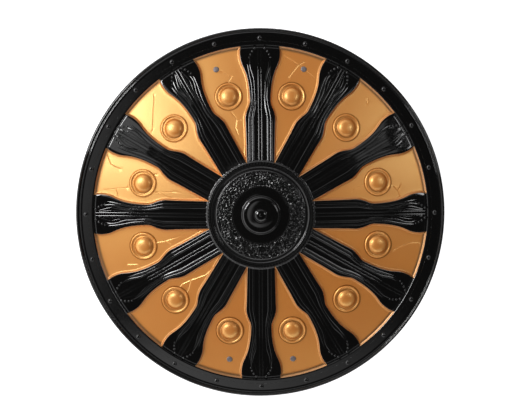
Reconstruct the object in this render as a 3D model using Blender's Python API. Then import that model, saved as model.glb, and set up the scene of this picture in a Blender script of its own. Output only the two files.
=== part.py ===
"""Round costume shield, moulded in thin plastic, with two back straps and their rivets.

The shield lies on its rim, face up. +Z is the way its face looks, +Y is its upper edge as it is
held up, and the origin is in the middle of the plane that the foot of the rim stands on.
Lengths are in metres. Angles round the shield are measured from +Y towards +X.
"""
import math

import bmesh
import bpy
from mathutils import Matrix, Vector
from mathutils.geometry import delaunay_2d_cdt

# Whole moulding
SHIELD_DIAMETER = 0.470
WALL = 0.0020

# Rim, from the outside in
RIM_HEIGHT = 0.0146
SKIRT_DRAFT = 0.0007
LIP_WIDTH = 0.0036
LIP_RISE = 0.0011
GROOVE_WIDTH = 0.0008
GROOVE_DEPTH = 0.0010
BAND_WIDTH = 0.0149
STEP_RUN = 0.0028
RIM_SEGMENTS = 72

# Moulded rivets round the rim band
RIM_RIVET_COUNT = 24
RIM_RIVET_RADIUS = 0.0029
RIM_RIVET_RISE = 0.0012
RIM_RIVET_INSET = 0.0082
RIM_RIVET_SEGMENTS = 6

# Dished panels
PANEL_DROP = 0.0031
DISH_RISE = 0.0340
DISH_POWER = 1.6

# Ribs. Each station is a share of the rib's length from the hub, then half widths: of the top of
# the rib's wall, of its outer ridge and of its inner ridge.
RIB_COUNT = 12
RIB_STATIONS = (
    (0.000, 0.0171, 0.0136, 0.0094),
    (0.300, 0.0182, 0.0137, 0.0095),
    (0.385, 0.0186, 0.0137, 0.0095),
    (0.440, 0.0166, 0.0120, 0.0081),
    (0.500, 0.0131, 0.0099, 0.0064),
    (0.548, 0.0129, 0.0091, 0.0059),
    (0.646, 0.0141, 0.0097, 0.0064),
    (0.730, 0.0164, 0.0113, 0.0087),
    (0.790, 0.0192, 0.0149, 0.0118),
    (0.865, 0.0236, 0.0197, 0.0147),
    (0.940, 0.0253, 0.0210, 0.0158),
    (1.000, 0.0245, 0.0204, 0.0152),
)
RIB_WALL_RUN = 0.0028
RIB_TIP_GAP = 0.0004
OUTER_RIDGE_RISE = 0.0012
INNER_RIDGE_RISE = 0.0010
BAR_HALF_WIDTH = 0.0038
BAR_RISE = 0.0005
FIELD_DEPTH = 0.0006
RIDGE_END_SHARE = 0.86
PLATE_START_SHARE = 0.94

# Studs, one in each panel. The inset is from the panel's outer end to the stud's centre, and the
# dome's shoulder is the same share of its radius and of its rise.
STUD_INSET = 0.0589
STUD_RADIUS = 0.0173
STUD_COLLAR_WIDTH = 0.0030
STUD_COLLAR_CREST_SHARE = 0.4
STUD_COLLAR_RISE = 0.0016
STUD_GROOVE_RISE = 0.0007
STUD_DOME_RADIUS = 0.0119
STUD_DOME_BASE = 0.0011
STUD_DOME_RISE = 0.0052
STUD_SHOULDER_SHARE = 0.62
STUD_SEGMENTS = 12
STUD_HOLLOW_SEGMENTS = 8

# Hub, from the outside in. A shoulder is a share of a dome's radius and a share of its rise.
HUB_RADIUS = 0.0678
HUB_RISE = 0.0020
HUB_DRAFT = 0.0012
BEAD_RING_WIDTH = 0.0024
LINE_RING_RADIUS = 0.0617
LINE_RING_RISE = 0.0004
ORNAMENT_OUTER_RADIUS = 0.0556
ORNAMENT_INNER_RADIUS = 0.0352
ORNAMENT_DEPTH = 0.0009
HUB_SLOPE_RISE = 0.0032
CROWN_FALL = 0.0010
BOSS_RADIUS = 0.0240
BOSS_STEP = 0.0022
BOSS_DOME_RISE = 0.0032
BOSS_DOME_RADIUS = 0.0095
BOSS_SHOULDER = (0.72, 0.55)
NIPPLE_RADIUS = 0.0076
NIPPLE_RISE = 0.0022
ROUND_SHOULDER = (0.6, 0.8)
HUB_SEGMENTS = 36
CROWN_SEGMENTS = 24
HUB_HOLLOW_SEGMENTS = 16
PALMETTE_COUNT = 12
PALMETTE_HALF_WIDTH = 0.0062
PALMETTE_RISE = 0.0015

# Straps and the rivets that hold them. Each strap crosses behind one rib, the rivet inset is from
# the panels' outer end, and each turn is how far a strap's rivets stand from the middle lines of
# the panels beside that rib.
STRAP_THICKNESS = 0.0022
STRAP_WIDTH = 0.0220
STRAP_TAB = 0.0085
STRAP_FLOOR_GAP = 0.0030
STRAP_SPAN_STEPS = 10
RIVET_INSET = 0.0219
ARM_RIVET_TURN = math.radians(1.87)
HAND_RIVET_TURN = math.radians(-2.72)
RIVET_SHANK_RADIUS = 0.0016
RIVET_HEAD_RADIUS = 0.0034
RIVET_HEAD_HEIGHT = 0.0014
RIVET_HEAD_ROUND = ((0.60, 0.85), (0.92, 0.45))
RIVET_BACK_RADIUS = 0.0042
RIVET_BACK_THICKNESS = 0.0012
RIVET_BACK_TAPER = 0.9
RIVET_SEGMENTS = 12
CLEARANCE = 0.0003

# Radii and levels that follow from the sizes above
FOOT_RADIUS = SHIELD_DIAMETER / 2
LIP_OUTER = FOOT_RADIUS - SKIRT_DRAFT
LIP_CREST = LIP_OUTER - LIP_WIDTH / 2
LIP_INNER = LIP_OUTER - LIP_WIDTH
BAND_OUTER = LIP_INNER - GROOVE_WIDTH
BAND_INNER = BAND_OUTER - BAND_WIDTH
PANEL_RADIUS = BAND_INNER - STEP_RUN
PANEL_EDGE_HEIGHT = RIM_HEIGHT - PANEL_DROP
RIM_RIVET_CIRCLE = BAND_OUTER - RIM_RIVET_INSET
STUD_CIRCLE = PANEL_RADIUS - STUD_INSET
RIVET_CIRCLE = PANEL_RADIUS - RIVET_INSET
SECTOR = 2 * math.pi / RIB_COUNT


def interpolate(x, pairs):
    """Straight-line interpolation in (x, y) pairs that are in ascending order."""
    if x <= pairs[0][0]:
        return pairs[0][1]
    for (x0, y0), (x1, y1) in zip(pairs, pairs[1:]):
        if x <= x1:
            return y0 + (y1 - y0) * (x - x0) / (x1 - x0)
    return pairs[-1][1]


def rib_line(share, column):
    """Half width of one of the rib's lines, as a smooth curve through its stations."""
    rows = RIB_STATIONS
    index = 0
    while index < len(rows) - 2 and share > rows[index + 1][0]:
        index += 1
    x0, x1 = rows[index][0], rows[index + 1][0]
    y0, y1 = rows[index][column], rows[index + 1][column]
    before = rows[max(index - 1, 0)]
    after = rows[min(index + 2, len(rows) - 1)]
    slope0 = (y1 - before[column]) / (x1 - before[0])
    slope1 = (after[column] - y0) / (after[0] - x0)
    t = min(max((share - x0) / (x1 - x0), 0), 1)
    step = x1 - x0
    return ((2 * t ** 3 - 3 * t ** 2 + 1) * y0 + (t ** 3 - 2 * t ** 2 + t) * step * slope0
            + (3 * t ** 2 - 2 * t ** 3) * y1 + (t ** 3 - t ** 2) * step * slope1)


def share_at(radius):
    return (radius - HUB_RADIUS) / (PANEL_RADIUS - HUB_RADIUS)


def rib_edge(radius):
    """Half width of a rib at the top of its wall, with the tips of the panels left open."""
    widest = radius * math.sin(SECTOR / 2) - RIB_TIP_GAP
    return min(rib_line(share_at(radius), 1), widest)


def rib_foot(radius):
    """Half width of a rib where its wall meets the panel floor."""
    return rib_edge(radius) + RIB_WALL_RUN


def outer_ridge(radius):
    return rib_line(share_at(radius), 2)


def inner_ridge(radius):
    return rib_line(share_at(radius), 3)


def tip_radius(foot):
    """Radius at which the feet of two neighbouring ribs meet, at the tip of a panel's floor."""
    low, high = HUB_RADIUS, STUD_CIRCLE
    for _ in range(40):
        middle = (low + high) / 2
        if foot(middle) > middle * math.sin(SECTOR / 2):
            low = middle
        else:
            high = middle
    return high


def ridge_fade(radius):
    """1 where the ridges stand at full height and 0 on the flat plate at the rib's outer end."""
    fade = (PLATE_START_SHARE - share_at(radius)) / (PLATE_START_SHARE - RIDGE_END_SHARE)
    return min(max(fade, 0), 1)


def floor_height(radius):
    share = min(radius / PANEL_RADIUS, 1)
    return PANEL_EDGE_HEIGHT + DISH_RISE * (1 - share ** DISH_POWER)


def rib_section(radius):
    """The rib's cross-section at a radius: half widths with heights above the panel floor."""
    fade = ridge_fade(radius)
    outer, inner = outer_ridge(radius), inner_ridge(radius)
    return [
        (0, PANEL_DROP + fade * BAR_RISE),
        (BAR_HALF_WIDTH, PANEL_DROP - fade * FIELD_DEPTH),
        (inner, PANEL_DROP + fade * INNER_RIDGE_RISE),
        ((inner + outer) / 2, PANEL_DROP),
        (outer, PANEL_DROP + fade * OUTER_RIDGE_RISE),
        (rib_edge(radius), PANEL_DROP),
        (rib_foot(radius), 0),
    ]


def step_height(radius):
    """Height of the step wall above the panel floor, at the panels' outer end."""
    return PANEL_DROP * min(max((radius - PANEL_RADIUS) / STEP_RUN, 0), 1)


def lateral(x, y):
    """Distance from the middle line of the nearest rib."""
    radius = math.hypot(x, y)
    angle = math.atan2(x, y) % SECTOR
    return radius * math.sin(min(angle, SECTOR - angle))


def stud_distance(x, y):
    """Distance in plan from the nearest stud's centre."""
    turn = (math.floor(math.atan2(x, y) / SECTOR) + 0.5) * SECTOR
    return math.hypot(x - STUD_CIRCLE * math.sin(turn), y - STUD_CIRCLE * math.cos(turn))


def stud_profile():
    collar_inner = STUD_RADIUS - STUD_COLLAR_WIDTH
    return [
        (0, STUD_DOME_BASE + STUD_DOME_RISE),
        (STUD_DOME_RADIUS * STUD_SHOULDER_SHARE, STUD_DOME_BASE + STUD_DOME_RISE * STUD_SHOULDER_SHARE),
        (STUD_DOME_RADIUS, STUD_DOME_BASE),
        (collar_inner, STUD_GROOVE_RISE),
        (STUD_RADIUS - STUD_COLLAR_WIDTH * STUD_COLLAR_CREST_SHARE, STUD_COLLAR_RISE),
        (STUD_RADIUS, 0),
    ]


def rim_profile():
    return [
        (BAND_INNER, RIM_HEIGHT),
        (BAND_OUTER, RIM_HEIGHT),
        (LIP_INNER, RIM_HEIGHT - GROOVE_DEPTH),
        (LIP_CREST, RIM_HEIGHT + LIP_RISE),
        (LIP_OUTER, RIM_HEIGHT - GROOVE_DEPTH),
    ]


def hub_levels():
    """Heights of the hub's top ring, of its slope's upper end and of the boss."""
    ring = floor_height(HUB_RADIUS) + PANEL_DROP + HUB_RISE
    slope_top = ring + HUB_SLOPE_RISE
    boss = slope_top + BOSS_STEP
    return ring, slope_top, boss


def hub_profile():
    ring, slope_top, boss = hub_levels()
    top_radius = HUB_RADIUS - HUB_DRAFT
    groove = (top_radius - BEAD_RING_WIDTH + LINE_RING_RADIUS) / 2
    dome_top = boss + BOSS_DOME_RISE
    nipple_share, nipple_rise_share = ROUND_SHOULDER
    boss_share, boss_rise_share = BOSS_SHOULDER
    crown = slope_top - CROWN_FALL
    return [
        (0, dome_top + NIPPLE_RISE),
        (NIPPLE_RADIUS * nipple_share, dome_top + NIPPLE_RISE * nipple_rise_share),
        (NIPPLE_RADIUS, dome_top),
        (BOSS_DOME_RADIUS, dome_top),
        (BOSS_RADIUS * boss_share, boss + BOSS_DOME_RISE * boss_rise_share),
        (BOSS_RADIUS - HUB_DRAFT, boss),
        (BOSS_RADIUS, slope_top),
        (ORNAMENT_INNER_RADIUS - HUB_DRAFT, crown),
        (ORNAMENT_INNER_RADIUS, crown - ORNAMENT_DEPTH),
        (ORNAMENT_OUTER_RADIUS, ring - ORNAMENT_DEPTH),
        (ORNAMENT_OUTER_RADIUS + HUB_DRAFT, ring),
        (LINE_RING_RADIUS, ring + LINE_RING_RISE),
        (groove, ring - ORNAMENT_DEPTH),
        (top_radius - BEAD_RING_WIDTH, ring),
        (top_radius, ring),
    ]


def palmette_height(x, y):
    """Height of the leaf-shaped mounds in the hub's ornament band."""
    turn = 2 * math.pi / PALMETTE_COUNT
    angle = math.atan2(x, y)
    offset = angle - round(angle / turn) * turn
    radius = math.hypot(x, y)
    middle = (ORNAMENT_OUTER_RADIUS + ORNAMENT_INNER_RADIUS) / 2
    half_length = (ORNAMENT_OUTER_RADIUS - ORNAMENT_INNER_RADIUS) / 2 - HUB_DRAFT
    across = abs(radius * math.sin(offset)) / PALMETTE_HALF_WIDTH
    along = abs(radius * math.cos(offset) - middle) / half_length
    return PALMETTE_RISE * max(0, 1 - across - along)


def rim_rivet_height(x, y):
    turn = 2 * math.pi / RIM_RIVET_COUNT
    nearest = round(math.atan2(x, y) / turn) * turn
    distance = math.hypot(x - RIM_RIVET_CIRCLE * math.sin(nearest),
                          y - RIM_RIVET_CIRCLE * math.cos(nearest))
    return interpolate(distance, [(0, RIM_RIVET_RISE), (RIM_RIVET_RADIUS, 0)])


def front_height(x, y):
    """Height of the shield's face at a point in plan."""
    radius = math.hypot(x, y)
    if radius >= BAND_INNER:
        return interpolate(radius, rim_profile()) + rim_rivet_height(x, y)
    top_radius = HUB_RADIUS - HUB_DRAFT
    if radius <= top_radius:
        return interpolate(radius, hub_profile()) + palmette_height(x, y)
    sector_radius = max(radius, HUB_RADIUS)
    rib = interpolate(lateral(x, y), rib_section(sector_radius))
    stud = interpolate(stud_distance(x, y), stud_profile())
    outside = floor_height(sector_radius) + max(rib, stud, step_height(radius))
    if radius >= HUB_RADIUS:
        return outside
    ring = hub_levels()[0]
    return outside + (ring - outside) * (HUB_RADIUS - radius) / HUB_DRAFT


def corner_shift(rise, run):
    """How far a wall's corners move sideways on the far side of a skin of the wall's thickness."""
    return WALL * math.tan(math.atan2(rise, run) / 2)


def back_foot(radius):
    """Half width of the hollow behind a rib, where it meets the back of the panel."""
    return rib_foot(radius) - corner_shift(PANEL_DROP, RIB_WALL_RUN)


def back_roof_edge(radius):
    return rib_edge(radius) - corner_shift(PANEL_DROP, RIB_WALL_RUN)


def back_step_radius():
    return PANEL_RADIUS + corner_shift(PANEL_DROP, STEP_RUN)


def back_hub_radius():
    return HUB_RADIUS - corner_shift(PANEL_DROP + HUB_RISE, HUB_DRAFT)


def back_stud_profile():
    """The hollow behind a stud, which follows its dome."""
    radius = STUD_DOME_RADIUS - corner_shift(STUD_DOME_RISE, STUD_DOME_RADIUS)
    return [
        (0, STUD_DOME_BASE + STUD_DOME_RISE),
        (radius * STUD_SHOULDER_SHARE, STUD_DOME_RISE * STUD_SHOULDER_SHARE),
        (radius, 0),
    ]


def back_hub_profile():
    ring, slope_top, boss = hub_levels()
    hub = back_hub_radius() - HUB_DRAFT
    boss_inner = BOSS_RADIUS - HUB_DRAFT - corner_shift(BOSS_STEP, HUB_DRAFT)
    boss_share, boss_rise_share = BOSS_SHOULDER
    return [
        (0, boss + BOSS_DOME_RISE - WALL),
        (boss_inner * boss_share, boss + BOSS_DOME_RISE * boss_rise_share - WALL),
        (boss_inner, boss - WALL),
        (boss_inner + HUB_DRAFT, slope_top - WALL - ORNAMENT_DEPTH),
        (hub, ring - WALL - ORNAMENT_DEPTH),
    ]


def back_height(x, y):
    """Height of the shield's hollow side at a point in plan."""
    radius = math.hypot(x, y)
    step_start = back_step_radius()
    if radius >= step_start + STEP_RUN:
        return RIM_HEIGHT - WALL
    hub = back_hub_radius()
    if radius <= hub - HUB_DRAFT:
        return interpolate(radius, back_hub_profile())
    sector_radius = min(max(radius, hub), PANEL_RADIUS)
    roof = PANEL_DROP - ridge_fade(sector_radius) * FIELD_DEPTH
    section = [(back_roof_edge(sector_radius), roof), (back_foot(sector_radius), 0)]
    rib = interpolate(lateral(x, y), section)
    stud = interpolate(stud_distance(x, y), back_stud_profile())
    step = PANEL_DROP * min(max((radius - step_start) / STEP_RUN, 0), 1)
    outside = floor_height(sector_radius) + max(rib, stud, step) - WALL
    if radius >= hub:
        return outside
    ring = hub_levels()[0] - WALL - ORNAMENT_DEPTH
    return outside + (ring - outside) * (hub - radius) / HUB_DRAFT


def polar(radius, angle):
    return Vector((radius * math.sin(angle), radius * math.cos(angle)))


def beside_rib(radius, half_width, rib, side):
    """A point beside the middle line of a rib, on its left (-1) or right (+1)."""
    return polar(radius, rib * SECTOR + side * math.asin(half_width / radius))


class Plan:
    """Points and crease lines in plan, from which a sheet is made."""

    def __init__(self):
        self.points = []
        self.edges = []

    def line(self, points, closed=False):
        first = len(self.points)
        self.points.extend(points)
        last = len(self.points) - 1
        self.edges.extend((i, i + 1) for i in range(first, last))
        if closed:
            self.edges.append((last, first))

    def dots(self, points):
        self.points.extend(points)

    def ring(self, radius, angles):
        self.line([polar(radius, angle) for angle in sorted(angles)], closed=True)

    def circle(self, centre, radius, segments):
        turns = (2 * math.pi * i / segments for i in range(segments))
        self.line([centre + polar(radius, turn) for turn in turns], closed=True)

    def sheet(self, mesh, height, upward):
        """Adds the sheet to a mesh, each point raised to the height that it has in plan."""
        points, _, faces, _, _, _ = delaunay_2d_cdt(self.points, self.edges, [], 0, 1e-6)
        corners = [mesh.verts.new((p.x, p.y, height(p.x, p.y))) for p in points]
        for face in faces:
            loop = face if upward else reversed(face)
            mesh.faces.new([corners[i] for i in loop])


def even_angles(count):
    return [2 * math.pi * i / count for i in range(count)]


def rows_between(start, end, shares):
    return [start + (end - start) * share for share in shares]


def add_studs(plan, profile, segments):
    """The circles of a stud's profile, round each stud's centre."""
    for panel in range(RIB_COUNT):
        centre = polar(STUD_CIRCLE, (panel + 0.5) * SECTOR)
        plan.dots([centre])
        for radius, _ in profile[1:]:
            plan.circle(centre, radius, segments)


def add_panel_dots(plan, floor_shares):
    """Points that hold the dish's curve across the open floor of each panel."""
    rows = rows_between(STUD_CIRCLE + STUD_RADIUS, PANEL_RADIUS, floor_shares)
    for panel in range(RIB_COUNT):
        middle = (panel + 0.5) * SECTOR
        plan.dots([polar((HUB_RADIUS + STUD_CIRCLE) / 2, middle)])
        for radius in rows:
            spread = (SECTOR / 2 - math.asin(rib_foot(radius) / radius)) / 2
            plan.dots([polar(radius, middle + turn) for turn in (-spread, 0, spread)])


def add_rib_line(plan, half_width, radii, end=None):
    """One of the rib's lines, on both sides of every rib."""
    for rib in range(RIB_COUNT):
        for side in (-1, 1):
            points = [beside_rib(radius, half_width(radius), rib, side) for radius in radii]
            if end:
                points.append(beside_rib(*end, rib, side))
            plan.line(points)


def add_panel_tips(plan, start, tip):
    """The bottom of the groove between two ribs' walls, from the hub to the panel floor's tip."""
    for panel in range(RIB_COUNT):
        plan.line([polar(radius, (panel + 0.5) * SECTOR) for radius in (start, tip)])


def add_floor_ends(plan, radius, foot):
    """The outer end of each panel's floor, from one rib's foot to the next's."""
    turn = math.asin(foot / radius)
    for panel in range(RIB_COUNT):
        start, end = panel * SECTOR + turn, (panel + 1) * SECTOR - turn
        turns = rows_between(start, end, (0, 0.25, 0.5, 0.75, 1))
        plan.line([polar(radius, angle) for angle in turns])


def front_plan():
    plan = Plan()
    for radius, _ in rim_profile()[1:]:
        plan.ring(radius, even_angles(RIM_SEGMENTS))
    for angle in even_angles(RIM_RIVET_COUNT):
        centre = polar(RIM_RIVET_CIRCLE, angle)
        plan.circle(centre, RIM_RIVET_RADIUS, RIM_RIVET_SEGMENTS)
        plan.dots([centre])
    add_ribs(plan)
    add_studs(plan, stud_profile(), STUD_SEGMENTS)
    add_panel_dots(plan, (0.2, 0.6))
    add_hub(plan)
    return plan


def add_ribs(plan):
    """The ribs' walls, ridges and bars, each line with as many points as its curve needs."""
    edge_rows = (0, 0.3, 0.38, 0.42, 0.46, 0.5, 0.55, 0.64, 0.72, 0.79, 0.865, 0.94, 1)
    ridge_rows = (0, 0.385, 0.44, 0.5, 0.55, 0.64, 0.72, 0.79, RIDGE_END_SHARE, PLATE_START_SHARE)
    valley_rows = (0, 0.385, 0.5, 0.64, 0.75, RIDGE_END_SHARE, PLATE_START_SHARE)
    foot_rows = (0, 0.2, 0.31, 0.36, 0.41, 0.46, 0.52, 0.61, 0.7, 0.78, 0.86, 0.94, 1)
    bar_rows = (0, 0.3, 0.6, RIDGE_END_SHARE, PLATE_START_SHARE)
    tip = tip_radius(rib_foot)
    corner = (BAND_INNER, rib_edge(PANEL_RADIUS))
    add_rib_line(plan, rib_edge, rows_between(HUB_RADIUS, PANEL_RADIUS, edge_rows), corner)
    add_rib_line(plan, rib_foot, rows_between(tip, PANEL_RADIUS, foot_rows), corner)
    for place, rows in ((4, ridge_rows), (3, valley_rows), (2, ridge_rows), (1, bar_rows)):
        radii = rows_between(HUB_RADIUS, PANEL_RADIUS, rows)
        add_rib_line(plan, lambda radius: rib_section(radius)[place][0], radii)
    for rib in range(RIB_COUNT):
        radii = rows_between(HUB_RADIUS, PANEL_RADIUS, bar_rows)
        plan.line([polar(radius, rib * SECTOR) for radius in radii])
    add_panel_tips(plan, HUB_RADIUS, tip)
    add_floor_ends(plan, PANEL_RADIUS, rib_foot(PANEL_RADIUS))
    turn = math.asin(rib_edge(PANEL_RADIUS) / BAND_INNER)
    corners = [rib * SECTOR + side * turn for rib in range(RIB_COUNT) for side in (-1, 1)]
    plan.ring(BAND_INNER, even_angles(RIM_SEGMENTS // 2) + corners)


def add_hub(plan):
    """The hub's rings. Where its wall meets the ribs, its points are those of the rib lines."""
    foot = []
    for rib in range(RIB_COUNT):
        foot.extend((rib * SECTOR, (rib + 0.5) * SECTOR))
        for half_width, _ in rib_section(HUB_RADIUS)[1:-1]:
            turn = math.asin(half_width / HUB_RADIUS)
            foot.extend((rib * SECTOR + turn, rib * SECTOR - turn))
    plan.ring(HUB_RADIUS, foot)
    for radius, _ in hub_profile()[1:]:
        outside = radius > ORNAMENT_INNER_RADIUS
        plan.ring(radius, even_angles(HUB_SEGMENTS if outside else CROWN_SEGMENTS))
    plan.dots([Vector((0, 0))])
    middle = (ORNAMENT_OUTER_RADIUS + ORNAMENT_INNER_RADIUS) / 2
    half_length = (ORNAMENT_OUTER_RADIUS - ORNAMENT_INNER_RADIUS) / 2 - HUB_DRAFT
    turn = math.atan(PALMETTE_HALF_WIDTH / middle)
    for angle in even_angles(PALMETTE_COUNT):
        plan.line([polar(middle + half_length, angle), polar(middle / math.cos(turn), angle + turn),
                   polar(middle - half_length, angle), polar(middle / math.cos(turn), angle - turn)],
                  closed=True)
        plan.dots([polar(middle, angle)])


def back_plan():
    plan = Plan()
    plan.ring(LIP_OUTER - WALL, even_angles(RIM_SEGMENTS))
    step_start = back_step_radius()
    step_end = step_start + STEP_RUN
    hub = back_hub_radius()
    tip = tip_radius(back_foot)
    corner = (step_end, back_roof_edge(PANEL_RADIUS))
    roof_rows = (0, 0.38, 0.46, 0.52, 0.64, 0.76, 0.87, 1)
    foot_rows = (0, 0.31, 0.4, 0.47, 0.6, 0.74, 0.86, 1)
    add_rib_line(plan, lambda radius: back_roof_edge(min(radius, PANEL_RADIUS)),
                 rows_between(hub, step_start, roof_rows), corner)
    add_rib_line(plan, lambda radius: back_foot(min(radius, PANEL_RADIUS)),
                 rows_between(tip, step_start, foot_rows), corner)
    add_panel_tips(plan, hub, tip)
    add_floor_ends(plan, step_start, back_foot(PANEL_RADIUS))
    turn = math.asin(back_roof_edge(PANEL_RADIUS) / step_end)
    corners = [rib * SECTOR + side * turn for rib in range(RIB_COUNT) for side in (-1, 1)]
    plan.ring(step_end, even_angles(RIM_SEGMENTS // 2) + corners)
    add_studs(plan, back_stud_profile(), STUD_HOLLOW_SEGMENTS)
    add_panel_dots(plan, (0.4,))
    turn = math.asin(back_roof_edge(hub) / hub)
    foot = [rib * SECTOR + side * turn for rib in range(RIB_COUNT) for side in (-1, 1)]
    plan.ring(hub, foot + even_angles(2 * RIB_COUNT))
    for radius, _ in back_hub_profile()[1:]:
        outside = radius > ORNAMENT_INNER_RADIUS
        plan.ring(radius, even_angles(HUB_SEGMENTS if outside else HUB_HOLLOW_SEGMENTS))
    plan.dots([Vector((0, 0))])
    return plan


def extrude_ring(mesh, edges, radius, height):
    """Extrudes a ring of edges to a ring of another radius, and returns the new edges."""
    result = bmesh.ops.extrude_edge_only(mesh, edges=edges)["geom"]
    for corner in (item for item in result if isinstance(item, bmesh.types.BMVert)):
        scale = radius / math.hypot(corner.co.x, corner.co.y)
        corner.co = (corner.co.x * scale, corner.co.y * scale, height)
    return [item for item in result if isinstance(item, bmesh.types.BMEdge) and item.is_boundary]


def in_panel(x, y):
    """Whether a point in plan lies on the gold floor of a panel or on its stud."""
    radius = math.hypot(x, y)
    return HUB_RADIUS < radius < BAND_INNER and lateral(x, y) > rib_edge(min(radius, PANEL_RADIUS))


def new_object(name, mesh, *materials):
    data = bpy.data.meshes.new(name)
    mesh.to_mesh(data)
    mesh.free()
    thing = bpy.data.objects.new(name, data)
    bpy.context.scene.collection.objects.link(thing)
    for material in materials:
        data.materials.append(material)
    return thing


def plain_material(name, colour, roughness, metallic=0.0):
    material = bpy.data.materials.new(name)
    material.use_nodes = True
    shader = material.node_tree.nodes["Principled BSDF"]
    shader.inputs["Base Color"].default_value = (*colour, 1)
    shader.inputs["Roughness"].default_value = roughness
    shader.inputs["Metallic"].default_value = metallic
    return material


def make_shell(black, gold):
    mesh = bmesh.new()
    front_plan().sheet(mesh, front_height, upward=True)
    outer = [edge for edge in mesh.edges if edge.is_boundary]
    outer = extrude_ring(mesh, outer, FOOT_RADIUS, 0)
    outer = extrude_ring(mesh, outer, FOOT_RADIUS - WALL, 0)
    extrude_ring(mesh, outer, LIP_OUTER - WALL, RIM_HEIGHT - WALL)
    back_plan().sheet(mesh, back_height, upward=False)
    bmesh.ops.remove_doubles(mesh, verts=mesh.verts, dist=1e-5)
    bmesh.ops.recalc_face_normals(mesh, faces=mesh.faces)
    for face in mesh.faces:
        middle = face.calc_center_median()
        face.material_index = int(face.normal.z > 0 and in_panel(middle.x, middle.y))
    shell = new_object("shield_shell", mesh, black, gold)
    shell.data.shade_smooth()
    shell.data.set_sharp_from_angle(angle=math.radians(30))
    return shell


def rivet_frame(x, y):
    """A rivet's own axes: its origin on the panel floor and its Z along the floor's normal."""
    radius = math.hypot(x, y)
    run = PANEL_RADIUS * 1e-3
    slope = (floor_height(radius - run) - floor_height(radius + run)) / (2 * run)
    normal = Vector((slope * x / radius, slope * y / radius, 1)).normalized()
    turn = Vector((0, 0, 1)).rotation_difference(normal).to_matrix().to_4x4()
    return Matrix.Translation((x, y, floor_height(radius))) @ turn


def seat_depth(frame):
    """Depth of the shell's back below its face, measured along the rivet."""
    return WALL * frame.col[2].z


def turned(name, profile, segments, material):
    """A solid turned about Z from a profile of (radius, height) that starts and ends on the axis."""
    mesh = bmesh.new()
    corners = [mesh.verts.new((radius, 0, height)) for radius, height in profile]
    edges = [mesh.edges.new(pair) for pair in zip(corners, corners[1:])]
    bmesh.ops.spin(mesh, geom=corners + edges, cent=(0, 0, 0), axis=(0, 0, 1),
                   angle=2 * math.pi, steps=segments, use_merge=True)
    bmesh.ops.remove_doubles(mesh, verts=mesh.verts, dist=1e-6)
    bmesh.ops.recalc_face_normals(mesh, faces=mesh.faces)
    thing = new_object(name, mesh, material)
    thing.data.shade_smooth()
    thing.data.set_sharp_from_angle(angle=math.radians(30))
    return thing


def make_rivet(name, frame, material):
    """A rivet with its head on the shell's face, in its own axes."""
    back_top = -(seat_depth(frame) + STRAP_THICKNESS + 3 * CLEARANCE)
    back_bottom = back_top - RIVET_BACK_THICKNESS
    round_head = [(RIVET_HEAD_RADIUS * across, CLEARANCE + RIVET_HEAD_HEIGHT * up)
                  for across, up in RIVET_HEAD_ROUND]
    profile = [
        (0, CLEARANCE + RIVET_HEAD_HEIGHT),
        *round_head,
        (RIVET_HEAD_RADIUS, CLEARANCE),
        (RIVET_SHANK_RADIUS, CLEARANCE),
        (RIVET_SHANK_RADIUS, back_top),
        (RIVET_BACK_RADIUS, back_top),
        (RIVET_BACK_RADIUS * RIVET_BACK_TAPER, back_bottom),
        (0, back_bottom),
    ]
    return turned(name, profile, RIVET_SEGMENTS, material)


def make_drill(name):
    """The cutter that opens a rivet's hole through the shell and the strap, in the rivet's axes."""
    mesh = bmesh.new()
    hole_radius = RIVET_SHANK_RADIUS + CLEARANCE
    bmesh.ops.create_cone(mesh, cap_ends=True, segments=RIVET_SEGMENTS, radius1=hole_radius,
                          radius2=hole_radius, depth=8 * (WALL + STRAP_THICKNESS))
    drill = new_object(name, mesh)
    drill.hide_render = True
    drill.display_type = "WIRE"
    return drill


def drill_hole(thing, drill):
    cut = thing.modifiers.new("rivet_hole", "BOOLEAN")
    cut.operation = "DIFFERENCE"
    cut.solver = "EXACT"
    cut.object = drill


def strap_stations(half_span, y):
    """Points along half of a strap, from its outer end to its middle, with the way each is flat."""
    frame = rivet_frame(half_span, y)
    normal = frame.col[2].to_3d()
    depth = seat_depth(frame) + CLEARANCE + STRAP_THICKNESS / 2
    seat = frame.translation - normal * depth
    inward = (Vector((-1, 0, 0)) + normal * normal.x).normalized()
    start = seat + inward * STRAP_TAB
    middle = Vector((0, y, STRAP_FLOOR_GAP + STRAP_THICKNESS / 2))
    reach = (start - middle).length
    stations = [(seat - inward * STRAP_TAB, normal), (start, normal)]
    for i in range(1, STRAP_SPAN_STEPS // 2 + 1):
        t = i / (STRAP_SPAN_STEPS // 2)
        point = ((2 * t ** 3 - 3 * t ** 2 + 1) * start + (t ** 3 - 2 * t ** 2 + t) * reach * inward
                 + (3 * t ** 2 - 2 * t ** 3) * middle + (t ** 3 - t ** 2) * reach * Vector((-1, 0, 0)))
        stations.append((point, normal.lerp(Vector((0, 0, 1)), t).normalized()))
    return stations


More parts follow.
